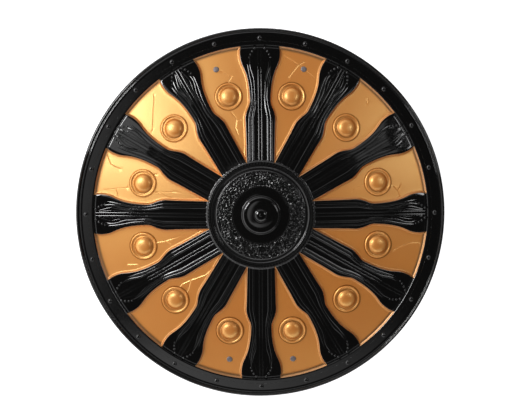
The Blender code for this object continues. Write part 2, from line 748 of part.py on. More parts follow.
def make_strap(name, half_span, y, material):
    """A flat strap along its stations, mirrored about its middle."""
    half = strap_stations(half_span, y)
    mirrored = [(Vector((-p.x, p.y, p.z)), Vector((-n.x, n.y, n.z))) for p, n in half[-2::-1]]
    stations = half + mirrored
    mesh = bmesh.new()
    rows = []
    for i, (point, upright) in enumerate(stations):
        ahead = stations[min(i + 1, len(stations) - 1)][0] - stations[max(i - 1, 0)][0]
        across = upright.cross(ahead).normalized()
        flat = ahead.cross(across).normalized()
        row = [mesh.verts.new(point + across * a * STRAP_WIDTH / 2 + flat * f * STRAP_THICKNESS / 2)
               for a, f in ((-1, -1), (1, -1), (1, 1), (-1, 1))]
        rows.append(row)
    for row, following in zip(rows, rows[1:]):
        for i in range(4):
            j = (i + 1) % 4
            mesh.faces.new((row[i], row[j], following[j], following[i]))
    mesh.faces.new(rows[0])
    mesh.faces.new(rows[-1])
    bmesh.ops.recalc_face_normals(mesh, faces=mesh.faces)
    return new_object(name, mesh, material)


def hang_strap(shell, name, rib, rivet_turn, left, strap_material, rivet_material):
    """A strap behind a rib, with the rivets that hold it. Left is the left rivet's side, -1 or 1."""
    turn = Matrix.Rotation(-rib * SECTOR, 4, "Z")
    x = RIVET_CIRCLE * math.sin(SECTOR / 2 + rivet_turn)
    y = RIVET_CIRCLE * math.cos(SECTOR / 2 + rivet_turn)
    strap = make_strap(f"{name}_strap", x, y, strap_material)
    strap.matrix_world = turn
    for side, place in ((left, "left"), (-left, "right")):
        frame = turn @ rivet_frame(side * x, y)
        rivet = make_rivet(f"rivet_{name}_{place}", frame, rivet_material)
        rivet.matrix_world = frame
        drill = make_drill(f"drill_{name}_{place}")
        drill.matrix_world = frame
        drill_hole(shell, drill)
        drill_hole(strap, drill)


def main():
    for thing in list(bpy.data.objects):
        bpy.data.objects.remove(thing, do_unlink=True)
    black = plain_material("black_plastic", (0.012, 0.012, 0.013), 0.22)
    gold = plain_material("gold_paint", (0.62, 0.33, 0.10), 0.35, 0.8)
    soft = plain_material("strap_plastic", (0.02, 0.02, 0.02), 0.55)
    grey = plain_material("grey_metal", (0.35, 0.35, 0.34), 0.35, 1.0)

    shell = make_shell(black, gold)
    hang_strap(shell, "arm", 0, ARM_RIVET_TURN, -1, soft, grey)
    hang_strap(shell, "hand", RIB_COUNT // 2, HAND_RIVET_TURN, 1, soft, grey)


main()
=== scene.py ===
"""Looks of the round costume shield: its moulded relief, gold paint, straps, rivets and light.

The shield lies on its rim, face up. Lengths are in metres. Angles round the shield are measured
from +Y towards +X. A rib's lines are given by radius and by distance from the rib's middle line.
"""
import math

import bmesh
import bpy
import numpy as np
from mathutils import Matrix, Vector


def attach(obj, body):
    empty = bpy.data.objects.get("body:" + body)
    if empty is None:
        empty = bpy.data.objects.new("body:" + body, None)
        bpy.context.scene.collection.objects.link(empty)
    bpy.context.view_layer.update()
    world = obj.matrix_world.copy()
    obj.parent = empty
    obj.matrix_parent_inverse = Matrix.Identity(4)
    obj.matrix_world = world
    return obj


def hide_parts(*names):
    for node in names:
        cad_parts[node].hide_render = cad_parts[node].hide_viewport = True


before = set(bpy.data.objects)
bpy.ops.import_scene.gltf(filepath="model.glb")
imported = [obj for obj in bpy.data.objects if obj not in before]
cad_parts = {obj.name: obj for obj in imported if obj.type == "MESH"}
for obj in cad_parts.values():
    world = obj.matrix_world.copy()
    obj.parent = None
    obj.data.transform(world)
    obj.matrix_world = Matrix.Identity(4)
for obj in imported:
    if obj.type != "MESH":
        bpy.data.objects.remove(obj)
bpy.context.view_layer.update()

MM = 0.001

# Whole moulding and its rim
OUTER_RADIUS = 0.2350
WALL = 0.0020
RIM_HEIGHT = 0.0146
BAND_INNER = 0.2137
PANEL_RADIUS = 0.2122
PANEL_END = 0.2102
PAINT_END = 0.2124
RIM_RIVETS = 24
RIM_RIVET_CIRCLE = 0.2217

# Dished panels and ribs
HUB_RADIUS = 0.0678
PANEL_DROP = 0.0031
DISH_RISE = 0.0340
DISH_POWER = 1.6
RIB_COUNT = 12
SECTOR = 2 * math.pi / RIB_COUNT
RIB_WALL = 0.0024
WALL_SUPPORT = 0.0030
FIELD_DEPTH = 0.0004
STUD_CIRCLE = 0.1533

# Share of the rib's length and the half width of its edge
RIB_STATIONS = (
    (0.000, 0.0171), (0.300, 0.0182), (0.385, 0.0186), (0.440, 0.0166), (0.500, 0.0131),
    (0.548, 0.0129), (0.646, 0.0141), (0.730, 0.0164), (0.790, 0.0192), (0.865, 0.0236),
    (0.940, 0.0253), (1.000, 0.0245),
)

# The rib's raised lines, which spread into a bud: radius, then distances from the middle line of
# the outer ridge, the inner ridge and the two lines within the bud, in mm
BUD_STATIONS = (
    (67.8, 13.6, 9.4, 6.3, 4.4), (111.0, 13.7, 9.5, 6.4, 4.4), (121.5, 13.8, 9.6, 6.4, 4.4),
    (126.0, 13.1, 9.0, 6.1, 4.2), (131.3, 11.9, 8.0, 5.5, 3.9), (140.0, 9.9, 6.6, 4.8, 3.5),
    (147.0, 9.2, 6.2, 4.6, 3.4), (154.0, 9.5, 6.5, 4.7, 3.4), (161.0, 10.0, 6.9, 5.0, 3.4),
    (167.0, 10.9, 7.1, 5.3, 3.5), (173.0, 12.2, 7.9, 5.6, 3.6), (178.0, 13.1, 9.4, 6.2, 3.9),
    (182.0, 13.8, 10.9, 6.9, 4.3), (186.0, 14.4, 11.8, 7.8, 4.7), (190.0, 15.0, 12.2, 8.2, 4.7),
    (194.0, 15.3, 11.9, 7.7, 4.3), (198.0, 15.5, 10.9, 6.5, 3.7), (202.0, 15.7, 9.3, 5.1, 3.3),
    (206.0, 15.9, 7.4, 4.4, 3.1), (209.0, 16.0, 6.4, 4.3, 3.1), (212.2, 16.0, 6.2, 4.3, 3.1),
)
CENTRE_LINE = 0.0019

# Half widths of the raised lines, from the outer ridge in to the pair beside the middle line, and
# the largest share that each takes of the gap to its neighbours
RIDGE_WIDTHS = (0.00120, 0.00115, 0.00080, 0.00070, 0.00075)
RIDGE_GAP_SHARE = 0.46
RIDGE_SLOPE = 0.52

# Beads along the bud, as (radius, distance from the middle line, radius of the bead), in mm
BUD_BEADS = ((209.0, 6.4, 1.9), (205.0, 9.5, 1.8), (200.9, 11.8, 1.6), (197.1, 13.3, 1.3))
BEAD_PROFILE = ((0, 0.62), (0.35, 0.58), (0.66, 0.42), (0.87, 0.18), (1.0, -0.25))

# Cracks moulded into the panels, as paths of (degrees, share of the shield's radius)
CRACKS = (
    ((7.9, .865), (11.7, .843), (15.5, .821), (18.9, .800), (21.6, .785)),
    ((16.4, .850), (14.7, .825), (13.2, .782), (11.7, .742)),
    ((43.6, .84), (44.4, .82)),
    ((78.6, .772), (81.0, .751), (83.4, .757)),
    ((81.0, .751), (78.3, .73)),
    ((74.6, .58), (74.6, .53)),
    ((75.3, .515), (76.4, .50)),
    ((100.8, .883), (101.4, .826), (103.5, .78), (105.7, .743)),
    ((228.3, .594), (228.7, .565), (227.1, .515), (222.9, .441), (222.0, .366)),
    ((227.1, .515), (224.4, .557), (223.5, .582)),
    ((248.1, .718), (249.6, .772)),
    ((255.3, .594), (254.7, .532), (255.0, .482)),
    ((254.7, .532), (251.7, .507)),
    ((281.4, .73), (280.2, .788), (279.0, .85)),
    ((280.2, .788), (277.2, .768)),
    ((291.3, .883), (288.6, .85), (288.0, .788)),
    ((289.5, .623), (291.3, .594)),
    ((282.0, .573), (283.5, .52), (285.0, .474)),
    ((282.0, .573), (280.8, .482)),
    ((318.4, .856), (313.2, .788), (307.9, .733)),
    ((344.7, .793), (348.3, .751), (346.2, .722)),
    ((344.4, .565), (346.2, .524), (348.3, .514)),
    ((346.2, .524), (344.1, .482), (344.4, .437)),
)
CRACK_DEPTH = 0.00040
CRACK_HALF_WIDTH = 0.0009

# How far round a crack, and round each of its straight runs, the faces are cut
CRACK_REACH = 0.009
RUN_REACH = 0.006

# Hub, its profile as (radius, height) from the middle out, in mm
HUB_TOP_RADIUS = 0.0666
ORNAMENT_OUTER = 0.0556
ORNAMENT_INNER = 0.0352
HUB_PROFILE = (
    (0.0, 55.9), (2.4, 55.75), (4.6, 55.3), (6.3, 54.5), (7.6, 53.75), (8.3, 53.6), (9.5, 53.62),
    (12.5, 53.5), (15.5, 53.32), (17.5, 53.12), (19.0, 52.9), (20.2, 52.66), (21.2, 52.38),
    (22.0, 51.95), (22.6, 51.35), (23.1, 50.5), (23.5, 49.5), (23.9, 48.7), (24.4, 48.35),
    (25.2, 48.25), (29.0, 47.7), (33.0, 46.95), (35.4, 46.35),
    (54.2, 44.5), (54.7, 44.9), (55.2, 45.0), (55.7, 44.7), (56.2, 44.2), (56.8, 43.95),
    (58.8, 43.85), (59.4, 44.05), (60.0, 44.65), (60.5, 45.1), (61.0, 45.2), (61.5, 45.0),
    (62.2, 44.9), (63.0, 44.95), (63.6, 45.3), (64.1, 45.45), (64.6, 45.2), (65.0, 44.95),
    (65.4, 45.05), (65.9, 45.35), (66.3, 45.2), (66.6, 44.8),
)
HUB_BEADS = 108
HUB_BEAD_CIRCLE = 0.0656
HUB_BEAD_RISE = 0.00045
HUB_BEAD_WIDTH = 0.0008

# One repeat of the hub's scrollwork, mirrored about its middle: rise, half width and path of
# (radius, distance along the band), in mm
SCROLL_LINES = (
    (1.3, 0.9, ((38.5, 0), (46, 0), (53.0, 0))),
    (1.1, 0.8, ((39.5, 0.8), (45, 2.4), (51.6, 3.8))),
    (1.1, 0.8, ((39.5, 1.2), (43, 4.0), (47.6, 6.4))),
    (1.0, 0.8, ((39.0, 1.6), (40.6, 4.6), (42.6, 7.2))),
    (1.1, 0.7, ((52.4, 6.6), (54.0, 8.8), (52.8, 11.2), (50.2, 11.4), (49.0, 9.4), (50.4, 8.2))),
    (1.0, 0.7, ((44.4, 10.6), (42.6, 11.6), (40.2, 10.6), (39.8, 8.6), (41.4, 7.8))),
    (0.8, 0.7, ((46.6, 8.0), (47.2, 10.2), (46.4, 11.9))),
)
SCROLL_DOTS = (
    (54.4, 2.4), (54.6, 5.0), (36.8, 1.4), (36.8, 4.2), (36.8, 7.0), (36.8, 9.8), (49.6, 6.6),
    (44.8, 6.6), (47.9, 11.6), (54.6, 11.6), (38.4, 9.6), (50.2, 1.9), (45.0, 8.8),
)
SCROLL_DOT_RISE = 0.0010
SCROLL_DOT_WIDTH = 0.00085

# Studs and the face's bed under each, as (distance from the centre, rise above the panel's
# floor), and the rim's rivets by their rise above its band, in mm
STUD_PROFILE = (
    (0, 5.7), (1.6, 5.66), (3.4, 5.52), (5.2, 5.23), (7.0, 4.73), (8.6, 3.98), (9.9, 3.03),
    (10.9, 2.0), (11.5, 1.25), (11.9, 0.95), (12.7, 0.72), (13.6, 0.66), (14.2, 0.75),
    (14.7, 1.05), (15.3, 1.5), (15.9, 1.62), (16.5, 1.35), (17.0, 0.75), (17.3, 0.2), (17.6, -0.5),
    (17.0, -0.7), (12.2, -0.8), (10.9, -0.5), (9.0, 0.9), (6.8, 2.8), (3.5, 4.3), (1.0, 4.65),
)
STUD_BED = ((0, 4.95), (3.5, 4.75), (6.8, 3.9), (8.0, 3.1), (9.9, 1.2), (10.9, 0.4), (11.5, 0))
RIM_RIVET_PROFILE = ((0, 1.5), (1.0, 1.4), (1.9, 1.08), (2.6, 0.58), (3.1, 0.05), (3.2, -0.4))

# Straps and the fasteners that hold them
RIVET_CIRCLE = 0.1903
ARM_TURN = math.radians(1.87)
HAND_TURN = math.radians(-2.72)
STRAP_THICKNESS = 0.0022
STRAP_WIDTH = 0.0220
STRAP_TAB = 0.0085
STRAP_FLOOR_GAP = 0.0030
CLEARANCE = 0.0003


def curve(t, start, leave, end, arrive):
    """Point at share t of a smooth curve, by its ends and by how it leaves and arrives."""
    return ((2 * t ** 3 - 3 * t ** 2 + 1) * start + (t ** 3 - 2 * t ** 2 + t) * leave
            + (3 * t ** 2 - 2 * t ** 3) * end + (t ** 3 - t ** 2) * arrive)


def rib_line(share):
    """Half width of the rib's edge, as a smooth curve through its stations."""
    rows = RIB_STATIONS
    index = 0
    while index < len(rows) - 2 and share > rows[index + 1][0]:
        index += 1
    (x0, y0), (x1, y1) = rows[index], rows[index + 1]
    before, after = rows[max(index - 1, 0)], rows[min(index + 2, len(rows) - 1)]
    slope0 = (y1 - before[1]) / (x1 - before[0])
    slope1 = (after[1] - y0) / (after[0] - x0)
    t = min(max((share - x0) / (x1 - x0), 0), 1)
    step = x1 - x0
    return curve(t, y0, step * slope0, y1, step * slope1)


LINE_SAMPLES = 400
LINE_RADII = np.linspace(HUB_RADIUS, PANEL_RADIUS, LINE_SAMPLES)
RIB_EDGE = np.array([rib_line(share) for share in np.linspace(0, 1, LINE_SAMPLES)])
RIB_EDGE = np.minimum(RIB_EDGE, LINE_RADII * math.sin(SECTOR / 2) - 0.4 * MM)


def smooth_line(column):
    """One of the bud's lines through its stations, evened out."""
    radii = np.array([row[0] for row in BUD_STATIONS]) * MM
    places = np.array([row[column] for row in BUD_STATIONS]) * MM
    line = np.interp(LINE_RADII, radii, places)
    for _ in range(3):
        line = np.convolve(np.pad(line, 5, "edge"), np.full(11, 1 / 11), "valid")
    return line


RIDGES = [smooth_line(column) for column in (1, 2, 3, 4)]
RIDGES.append(np.full(LINE_SAMPLES, CENTRE_LINE))
NEIGHBOURS = [RIB_EDGE - 0.2 * MM, *RIDGES, np.full(LINE_SAMPLES, -CENTRE_LINE)]
RIDGE_SPANS = [
    np.minimum(width, RIDGE_GAP_SHARE * np.minimum(outer - line, line - inner))
    for width, outer, line, inner in zip(RIDGE_WIDTHS, NEIGHBOURS, RIDGES, NEIGHBOURS[2:])]


def half_width(line, radius):
    """A line's distance or half width at a radius, which stays the same beyond its ends."""
    return np.interp(radius, LINE_RADII, line)


def floor_height(radius):
    share = np.minimum(radius / PANEL_RADIUS, 1)
    return RIM_HEIGHT - PANEL_DROP + DISH_RISE * (1 - share ** DISH_POWER)


def floor_slope(radius, reach=0.5 * MM):
    """Slope of a panel's floor, down and outward."""
    return (floor_height(radius - reach) - floor_height(radius + reach)) / (2 * reach)


def soft_step(x, low, high):
    """0 below low, 1 above high, and an even curve between."""
    t = np.clip((x - low) / (high - low), 0, 1)
    return t * t * (3 - 2 * t)


def mound(distance, width):
    return np.exp(-(distance / width) ** 2)


def wall_share(distance):
    """Share of a wall's height, by the distance outward from the wall's top edge."""
    return np.interp(distance, (-0.4 * MM, 0, 0.8 * MM, 1.7 * MM, RIB_WALL, WALL_SUPPORT),
                     (1, 0.96, 0.66, 0.24, 0.02, 0))


def path_distance(x, y, path):
    """Distance in plan from a path of points."""
    nearest = np.full(np.shape(x), 1.0)
    for (x0, y0), (x1, y1) in zip(path, path[1:]):
        run_x, run_y = x1 - x0, y1 - y0
        along = ((x - x0) * run_x + (y - y0) * run_y) / (run_x ** 2 + run_y ** 2)
        along = np.clip(along, 0, 1)
        nearest = np.minimum(nearest, np.hypot(x - x0 - along * run_x, y - y0 - along * run_y))
    return nearest


def crack_points(crack):
    """A crack's path in plan."""
    places = [(OUTER_RADIUS * share, math.radians(turn)) for turn, share in crack]
    return [(radius * math.sin(turn), radius * math.cos(turn)) for radius, turn in places]


def crack_distance(x, y):
    """Distance in plan from the nearest crack."""
    nearest = np.full(np.shape(x), 1.0)
    for crack in CRACKS:
        nearest = np.minimum(nearest, path_distance(x, y, crack_points(crack)))
    return nearest


def rib_place(x, y):
    """Radius, and signed distance from the nearest rib's middle line."""
    radius, turn = np.hypot(x, y), np.arctan2(x, y)
    return radius, radius * np.sin(turn - np.round(turn / SECTOR) * SECTOR)


def ridge_shares(radius):
    """Share of its full height that each raised line has at a radius, from the outer ridge in."""
    leaf = soft_step(radius, 0.150, 0.168)
    tip = 1 - soft_step(radius, 0.2045, 0.2075)
    return (1 - soft_step(radius, 0.178, 0.203), 1 - soft_step(radius, 0.188, 0.203),
            0.4 * leaf * tip, 0.35 * leaf * tip, 1 - 0.3 * leaf)


def rib_relief(radius, across):
    """Carving on the rib's top, above the top of its wall."""
    away = np.abs(across)
    inner = half_width(RIDGES[1], radius)
    leaf = soft_step(radius, 0.150, 0.168)
    height = -FIELD_DEPTH * soft_step(inner - away, 0.6 * MM, 1.8 * MM) * (
        1 - soft_step(radius, 0.128, 0.185))
    height += 0.2 * MM * soft_step(inner - away, -0.3 * MM, 3.0 * MM) * leaf * (
        1 - soft_step(radius, 0.180, 0.2085))
    for line, span, share in zip(RIDGES, RIDGE_SPANS, ridge_shares(radius)):
        width = half_width(span, radius)
        gap = np.abs(away - half_width(line, radius))
        height += RIDGE_SLOPE * share * np.clip(width - gap, 0, width)
    return height


def stud_distance(x, y):
    """Distance in plan from the middle of the nearest stud."""
    turn = (np.floor(np.arctan2(x, y) / SECTOR) + 0.5) * SECTOR
    return np.hypot(x - STUD_CIRCLE * np.sin(turn), y - STUD_CIRCLE * np.cos(turn))


def stud_rise(x, y, profile):
    """Rise above a panel at points in plan, by a profile round the middle of the nearest stud."""
    radii, heights = np.array(profile).T * MM
    return np.interp(stud_distance(x, y), radii, heights)


def sector_height(x, y):
    """Height of the face between the hub and the rim band, with a bed under every stud."""
    radius, across = rib_place(x, y)
    within = np.clip(radius, HUB_RADIUS, PANEL_END)
    edge = half_width(RIB_EDGE, within)
    ends = np.interp(radius - PANEL_END, (-0.7 * MM, -0.2 * MM, 0.4 * MM, 1.1 * MM),
                     (1, 0.94, 0.5, 0))
    side = wall_share(np.abs(across) - edge) * ends
    step = np.interp(radius, (PANEL_END - 4.2 * MM, PANEL_END - 2.4 * MM, PANEL_END - 0.8 * MM,
                              PANEL_END + 0.1 * MM, PANEL_END + 1.0 * MM, BAND_INNER - 1.2 * MM,
                              BAND_INNER - 0.5 * MM, BAND_INNER),
                     (0, 0.02, 0.08, 0.15, 0.30, 0.80, 0.96, 1))
    floor = floor_height(within)
    height = floor + np.maximum(PANEL_DROP * side, (RIM_HEIGHT - floor) * step)
    height += np.where(side > 0.95, rib_relief(within, across), 0)
    height += stud_rise(x, y, STUD_BED)
    cracked = CRACK_DEPTH * np.clip(1 - crack_distance(x, y) / CRACK_HALF_WIDTH, 0, 1)
    return height - cracked * (np.abs(across) > edge + WALL_SUPPORT)


def scroll_height(radius, turn):
    """Scrollwork in the hub's ornament band."""
    local = turn - np.round(turn / SECTOR) * SECTOR
    middle = (ORNAMENT_OUTER + ORNAMENT_INNER) / 2
    along = np.abs(local) * middle
    height = np.zeros(np.shape(radius))
    for rise, width, path in SCROLL_LINES:
        path = [(r * MM, a * MM) for r, a in path]
        height = np.maximum(height, rise * MM * mound(path_distance(radius, along, path),
                                                      width * MM))
    for r, a in SCROLL_DOTS:
        distance = np.hypot(radius - r * MM, along - a * MM)
        height = np.maximum(height, SCROLL_DOT_RISE * mound(distance, SCROLL_DOT_WIDTH))
    within = soft_step(radius, 35.4 * MM, 36.2 * MM)
    return height * within * soft_step(-radius, -55.4 * MM, -54.8 * MM)


def hub_height(x, y):
    radius, turn = np.hypot(x, y), np.arctan2(x, y)
    radii, heights = np.array(HUB_PROFILE).T * MM
    height = np.interp(radius, radii, heights) + scroll_height(radius, turn)
    beads = 0.5 + 0.5 * np.cos(turn * HUB_BEADS)
    ring = mound(radius - HUB_BEAD_CIRCLE, HUB_BEAD_WIDTH)
    return height + HUB_BEAD_RISE * (beads - 0.5) * ring


def face_height(x, y):
    """Height of the shield's whole face inside the rim band, at points in plan."""
    radius = np.hypot(x, y)
    foot = soft_step(radius, HUB_TOP_RADIUS, HUB_RADIUS)
    outside = sector_height(x, y)
    hub = hub_height(x, y)
    height = np.where(radius <= HUB_TOP_RADIUS, hub, hub * (1 - foot) + outside * foot)
    return np.where(radius >= HUB_RADIUS, outside, height)


def in_plan(verts):
    """The X and the Y of points, as arrays."""
    places = np.array([v.co[:] for v in verts])
    return places[:, 0], places[:, 1]


def set_heights(bm, height):
    """Lifts a mesh's points to the heights that a function gives them."""
    for vert, z in zip(bm.verts, height(*in_plan(bm.verts))):
        vert.co.z = z


def polar(radius, turn, z=0.0):
    return Vector((radius * math.sin(turn), radius * math.cos(turn), z))


def loop_at(bm, radius):
    """The open edges that lie on a circle of that radius, in plan."""
    return [edge for edge in bm.edges if edge.is_boundary
            and all(abs(v.co.xy.length - radius) < 0.02 * MM for v in edge.verts)]


def loop_verts(edges):
    return {vert for edge in edges for vert in edge.verts}


def extrude_to(bm, edges, radius, z=0.0):
    """Extrudes a ring of edges to a ring of another radius and height, and returns its edges."""
    made = bmesh.ops.extrude_edge_only(bm, edges=edges)["geom"]
    for vert in (item for item in made if isinstance(item, bmesh.types.BMVert)):
        scale = radius / vert.co.xy.length
        vert.co = (vert.co.x * scale, vert.co.y * scale, z)
    return [item for item in made if isinstance(item, bmesh.types.BMEdge) and item.is_boundary]


def space_out(edges, share):
    """Moves a ring's points round towards even spacing."""
    verts = sorted(loop_verts(edges),
                   key=lambda v: (math.atan2(v.co.x, v.co.y) + 1e-5) % (2 * math.pi))
    for place, vert in enumerate(verts):
        even = 2 * math.pi * place / len(verts)
        turn = math.atan2(vert.co.x, vert.co.y)
        gap = (even - turn + math.pi) % (2 * math.pi) - math.pi
        vert.co = polar(vert.co.xy.length, turn + gap * share, vert.co.z)


def extrude_rings(bm, edges, radii, steps):
    """Extrudes a ring through more rings in plan, evenly spaced after that many of them."""
    for number, radius in enumerate(radii, 1):
        edges = extrude_to(bm, edges, radius * MM)
        space_out(edges, min(1, number / steps))
    return edges


def divide_ring(bm, edges, cuts):
    """Divides a ring's edges, with the new points on its circle, and returns the new edges."""
    radius = edges[0].verts[0].co.xy.length
    fixed = loop_verts(edges)
    made = bmesh.ops.subdivide_edges(bm, edges=edges, cuts=cuts)["geom_split"]
    ring = {edge for edge in made if isinstance(edge, bmesh.types.BMEdge) and edge.is_boundary}
    for vert in loop_verts(ring) - fixed:
        vert.co = polar(radius, math.atan2(vert.co.x, vert.co.y), vert.co.z)
    return list(ring)


def join_mesh(bm, other):
    """Adds another bmesh to this one, and frees it."""
    mesh = bpy.data.meshes.new("joined")
    other.to_mesh(mesh)
    other.free()
    bm.from_mesh(mesh)
    bpy.data.meshes.remove(mesh)


def bridge(bm, first, second):
    """Joins the open rings at two radii, in mm, with faces."""
    bmesh.ops.bridge_loops(bm, edges=loop_at(bm, first * MM) + loop_at(bm, second * MM))


def front_columns(radius):
    """Half of a rib's columns of points, as distances from its middle line, out to its foot."""
    columns = [0]
    for line, span in list(zip(RIDGES, RIDGE_SPANS))[::-1]:
        place, width = float(half_width(line, radius)), float(half_width(span, radius))
        columns += [place - width, place, place + width]
    edge = float(half_width(RIB_EDGE, radius))
    for gap in (10, 14, 18):
        after = columns[gap] if gap < len(columns) else edge - 0.5 * MM
        columns.insert(gap, (columns[gap - 1] + after) / 2)
    columns += [edge - 0.5 * MM, edge, edge + 0.8 * MM, edge + 1.7 * MM]
    return columns + [edge + RIB_WALL, edge + WALL_SUPPORT]


def front_rows():
    rows = [*np.linspace(67.8, 72.6, 4), *np.linspace(79, 116, 6), 118.5, 120.5, 121.8, 122.7,
            123.5, 124.3, 125.2, 126.6, 128.4, 130.4, *np.linspace(133, 148, 6),
            *np.linspace(150.6, 190, 22), *np.linspace(191.4, 207.6, 13), 208.6, 209.2, 209.7,
            210.3, 211.0, 211.9, 212.6, 213.2, 213.7, 214.4]
    return [row * MM for row in rows]


def spin_round(bm, count):
    """Repeats a mesh to a full circle."""
    geom = bm.verts[:] + bm.edges[:] + bm.faces[:]
    bmesh.ops.spin(bm, geom=geom, cent=(0, 0, 0), axis=(0, 0, -1), dvec=(0, 0, 0),
                   angle=2 * math.pi * (count - 1) / count, steps=count - 1,
                   use_duplicate=True, use_merge=False)


# Least angle between the grid's columns, in radians
LEAST_TURN = 0.0003


def sector_grid(bm, rows, columns_at, floor_columns):
    """The ribs and panels in plan: a grid for one rib and half of each panel beside it, repeated
    round the shield. Its columns follow the rib's lines."""
    half = len(columns_at(rows[0])) - 1 + floor_columns
    grid = bmesh.ops.create_grid(bm, x_segments=2 * half, y_segments=len(rows) - 1, size=1)["verts"]
    for vert in grid:
        column = round((vert.co.x + 1) * half) - half
        radius = rows[round((vert.co.y + 1) / 2 * (len(rows) - 1))]
        columns = columns_at(radius)
        place = min(abs(column), len(columns) - 1)
        widest = SECTOR / 2 - LEAST_TURN * (half - place)
        turn = min(math.asin(columns[place] / radius), widest)
        if abs(column) > place:
            share = (abs(column) - place) / floor_columns
            turn += (SECTOR / 2 - turn) * share
        vert.co = polar(radius, math.copysign(turn, column))
    spin_round(bm, RIB_COUNT)
    bmesh.ops.remove_doubles(bm, verts=bm.verts, dist=3e-6)


def refine(bm, near, cuts):
    """Divides the faces whose corners lie near something, by a function of points in plan."""
    chosen = set(np.nonzero(near(*in_plan(bm.verts)))[0])
    bm.verts.index_update()
    edges = list({edge for face in bm.faces if any(v.index in chosen for v in face.verts)
                  for edge in face.edges})
    bmesh.ops.subdivide_edges(bm, edges=edges, cuts=cuts, use_grid_fill=True)


def cut_cracks(bm):
    """Cuts the panels' faces along the middle and both sides of every crack, so that each crack
    becomes a clean groove."""
    for crack in CRACKS:
        path = [Vector((x, y, 0)) for x, y in crack_points(crack)]
        middles = np.array([face.calc_center_median()[:2] for face in bm.faces])
        reach = path_distance(middles[:, 0], middles[:, 1], [(p.x, p.y) for p in path])
        bm.faces.ensure_lookup_table()
        near = [bm.faces[number] for number in np.nonzero(reach < CRACK_REACH)[0]]
        for start, end in zip(path, path[1:]):
            run = ((start.x, start.y), (end.x, end.y))
            side = Vector((0, 0, 1)).cross(end - start).normalized()
            for offset in (-CRACK_HALF_WIDTH, 0, CRACK_HALF_WIDTH):
                local = [face for face in near if face.is_valid and path_distance(
                    *face.calc_center_median()[:2], run) < RUN_REACH]
                geom = {v for f in local for v in f.verts} | {e for f in local for e in f.edges}
                made = bmesh.ops.bisect_plane(bm, geom=list(geom) + local, dist=1e-6,
                                              plane_co=start + side * offset, plane_no=side)
                cut = {item for item in made["geom"] if isinstance(item, bmesh.types.BMFace)}
                near = list(cut.union(near))


def turned_form(profile, segments):
    """A closed turned form on the Z axis, from (radius, height) pairs that start on the axis."""
    form = bmesh.new()
    radii = [(r * MM, h * MM) for r, h in profile]
    bmesh.ops.create_circle(form, cap_ends=True, cap_tris=True, segments=segments,
                            radius=radii[1][0])
    for vert in form.verts:
        vert.co.z = radii[1][1] if vert.co.xy.length > radii[1][0] / 2 else radii[0][1]
    edges = [edge for edge in form.edges if edge.is_boundary]
    for radius, height in radii[2:]:
        edges = extrude_to(form, edges, radius, height)
    bmesh.ops.edgeloop_fill(form, edges=edges)
    bmesh.ops.recalc_face_normals(form, faces=form.faces)
    return form


def repeat_round(form, count, start):
    """Turns a form to its first place round the shield, and repeats it to a full circle."""
    bmesh.ops.rotate(form, cent=(0, 0, 0), matrix=Matrix.Rotation(-start, 3, "Z"), verts=form.verts)
    spin_round(form, count)
    bmesh.ops.recalc_face_normals(form, faces=form.faces)


def sharpen_cracks(bm):
    """Keeps the middle and both sides of every crack crisp."""
    distance = crack_distance(*in_plan(bm.verts))
    on_line = (distance < 0.01 * MM) | (np.abs(distance - CRACK_HALF_WIDTH) < 0.01 * MM)
    lined = {vert for vert, hit in zip(bm.verts, on_line) if hit}
    for edge in {edge for vert in lined for edge in vert.link_edges}:
        edge.smooth = not lined.issuperset(edge.verts)


def sharpen_ridges(bm):
    """Keeps the foot of every raised line on the ribs crisp."""
    radius, across = rib_place(*in_plan(bm.verts))
    foot = np.zeros(len(bm.verts), int)
    for number, (line, span) in enumerate(zip(RIDGES, RIDGE_SPANS), 1):
        for side in (-1, 1):
            away = np.abs(across) - half_width(line, radius) - side * half_width(span, radius)
            foot[(np.abs(away) < 0.004 * MM) & (radius > HUB_RADIUS - MM)] = number * side
    named = {vert: mark for vert, mark in zip(bm.verts, foot) if mark}
    for edge in {edge for vert in named for edge in vert.link_edges}:
        first, second = (named.get(vert) for vert in edge.verts)
        if first == second:
            edge.smooth = False


def build_hub():
    """The hub's face as rings about its centre, in plan."""
    hub = bmesh.new()
    bmesh.ops.create_circle(hub, cap_ends=True, cap_tris=True, segments=58, radius=1.2 * MM)
    edges = [edge for edge in hub.edges if edge.is_boundary]
    for radii, cuts in HUB_RINGS:
        for radius in radii:
            edges = extrude_to(hub, edges, radius * MM)
        edges = divide_ring(hub, edges, cuts)
    return hub


# Rings of the hub's face, with the cuts that divide each edge after them, and the rings from the
# face's grid in to the hub and out to the rim band, all as radii in mm
HUB_RINGS = (
    ((2.4, 3.6, 4.8, 5.7, 6.6, 7.2, 7.6, 8.4, 9.5), 1),
    ((11.0, 13.0, 15.0, 17, 18.4, 19.6, 20.6, 21.5, 22.2, 22.8, 23.2, 23.6, 24.0, 24.5, 25.4, 28,
      31, 33.2, 34.0), 2),
    ((34.4, 34.9, 35.3, *np.linspace(35.9, 54.1, 25), 54.6, 55.2, 55.7, 56.2, 56.8, 58.8, 59.4,
      60.0, 60.5, 61.0, 61.5, 62.2, 62.9, 63.5), 1),
)
FACE_HUB_RINGS = (66.95, 66.6, 66.1, 65.6, 65.1, 64.6)
FACE_RIM_RINGS = (215.3, 216.4, 217.4)


def build_front(bm):
    """The whole face inside the rim band, from the hub's centre out."""
    rows = front_rows()
    sector_grid(bm, rows, front_columns, floor_columns=5)
    rim, inner = loop_at(bm, rows[-1]), loop_at(bm, HUB_RADIUS)
    extrude_rings(bm, inner, FACE_HUB_RINGS, 3)
    extrude_rings(bm, rim, FACE_RIM_RINGS, 3)
    sharpen_ridges(bm)
    cut_cracks(bm)
    sharpen_cracks(bm)
    join_mesh(bm, build_hub())
    bridge(bm, HUB_RINGS[-1][0][-1], FACE_HUB_RINGS[-1])


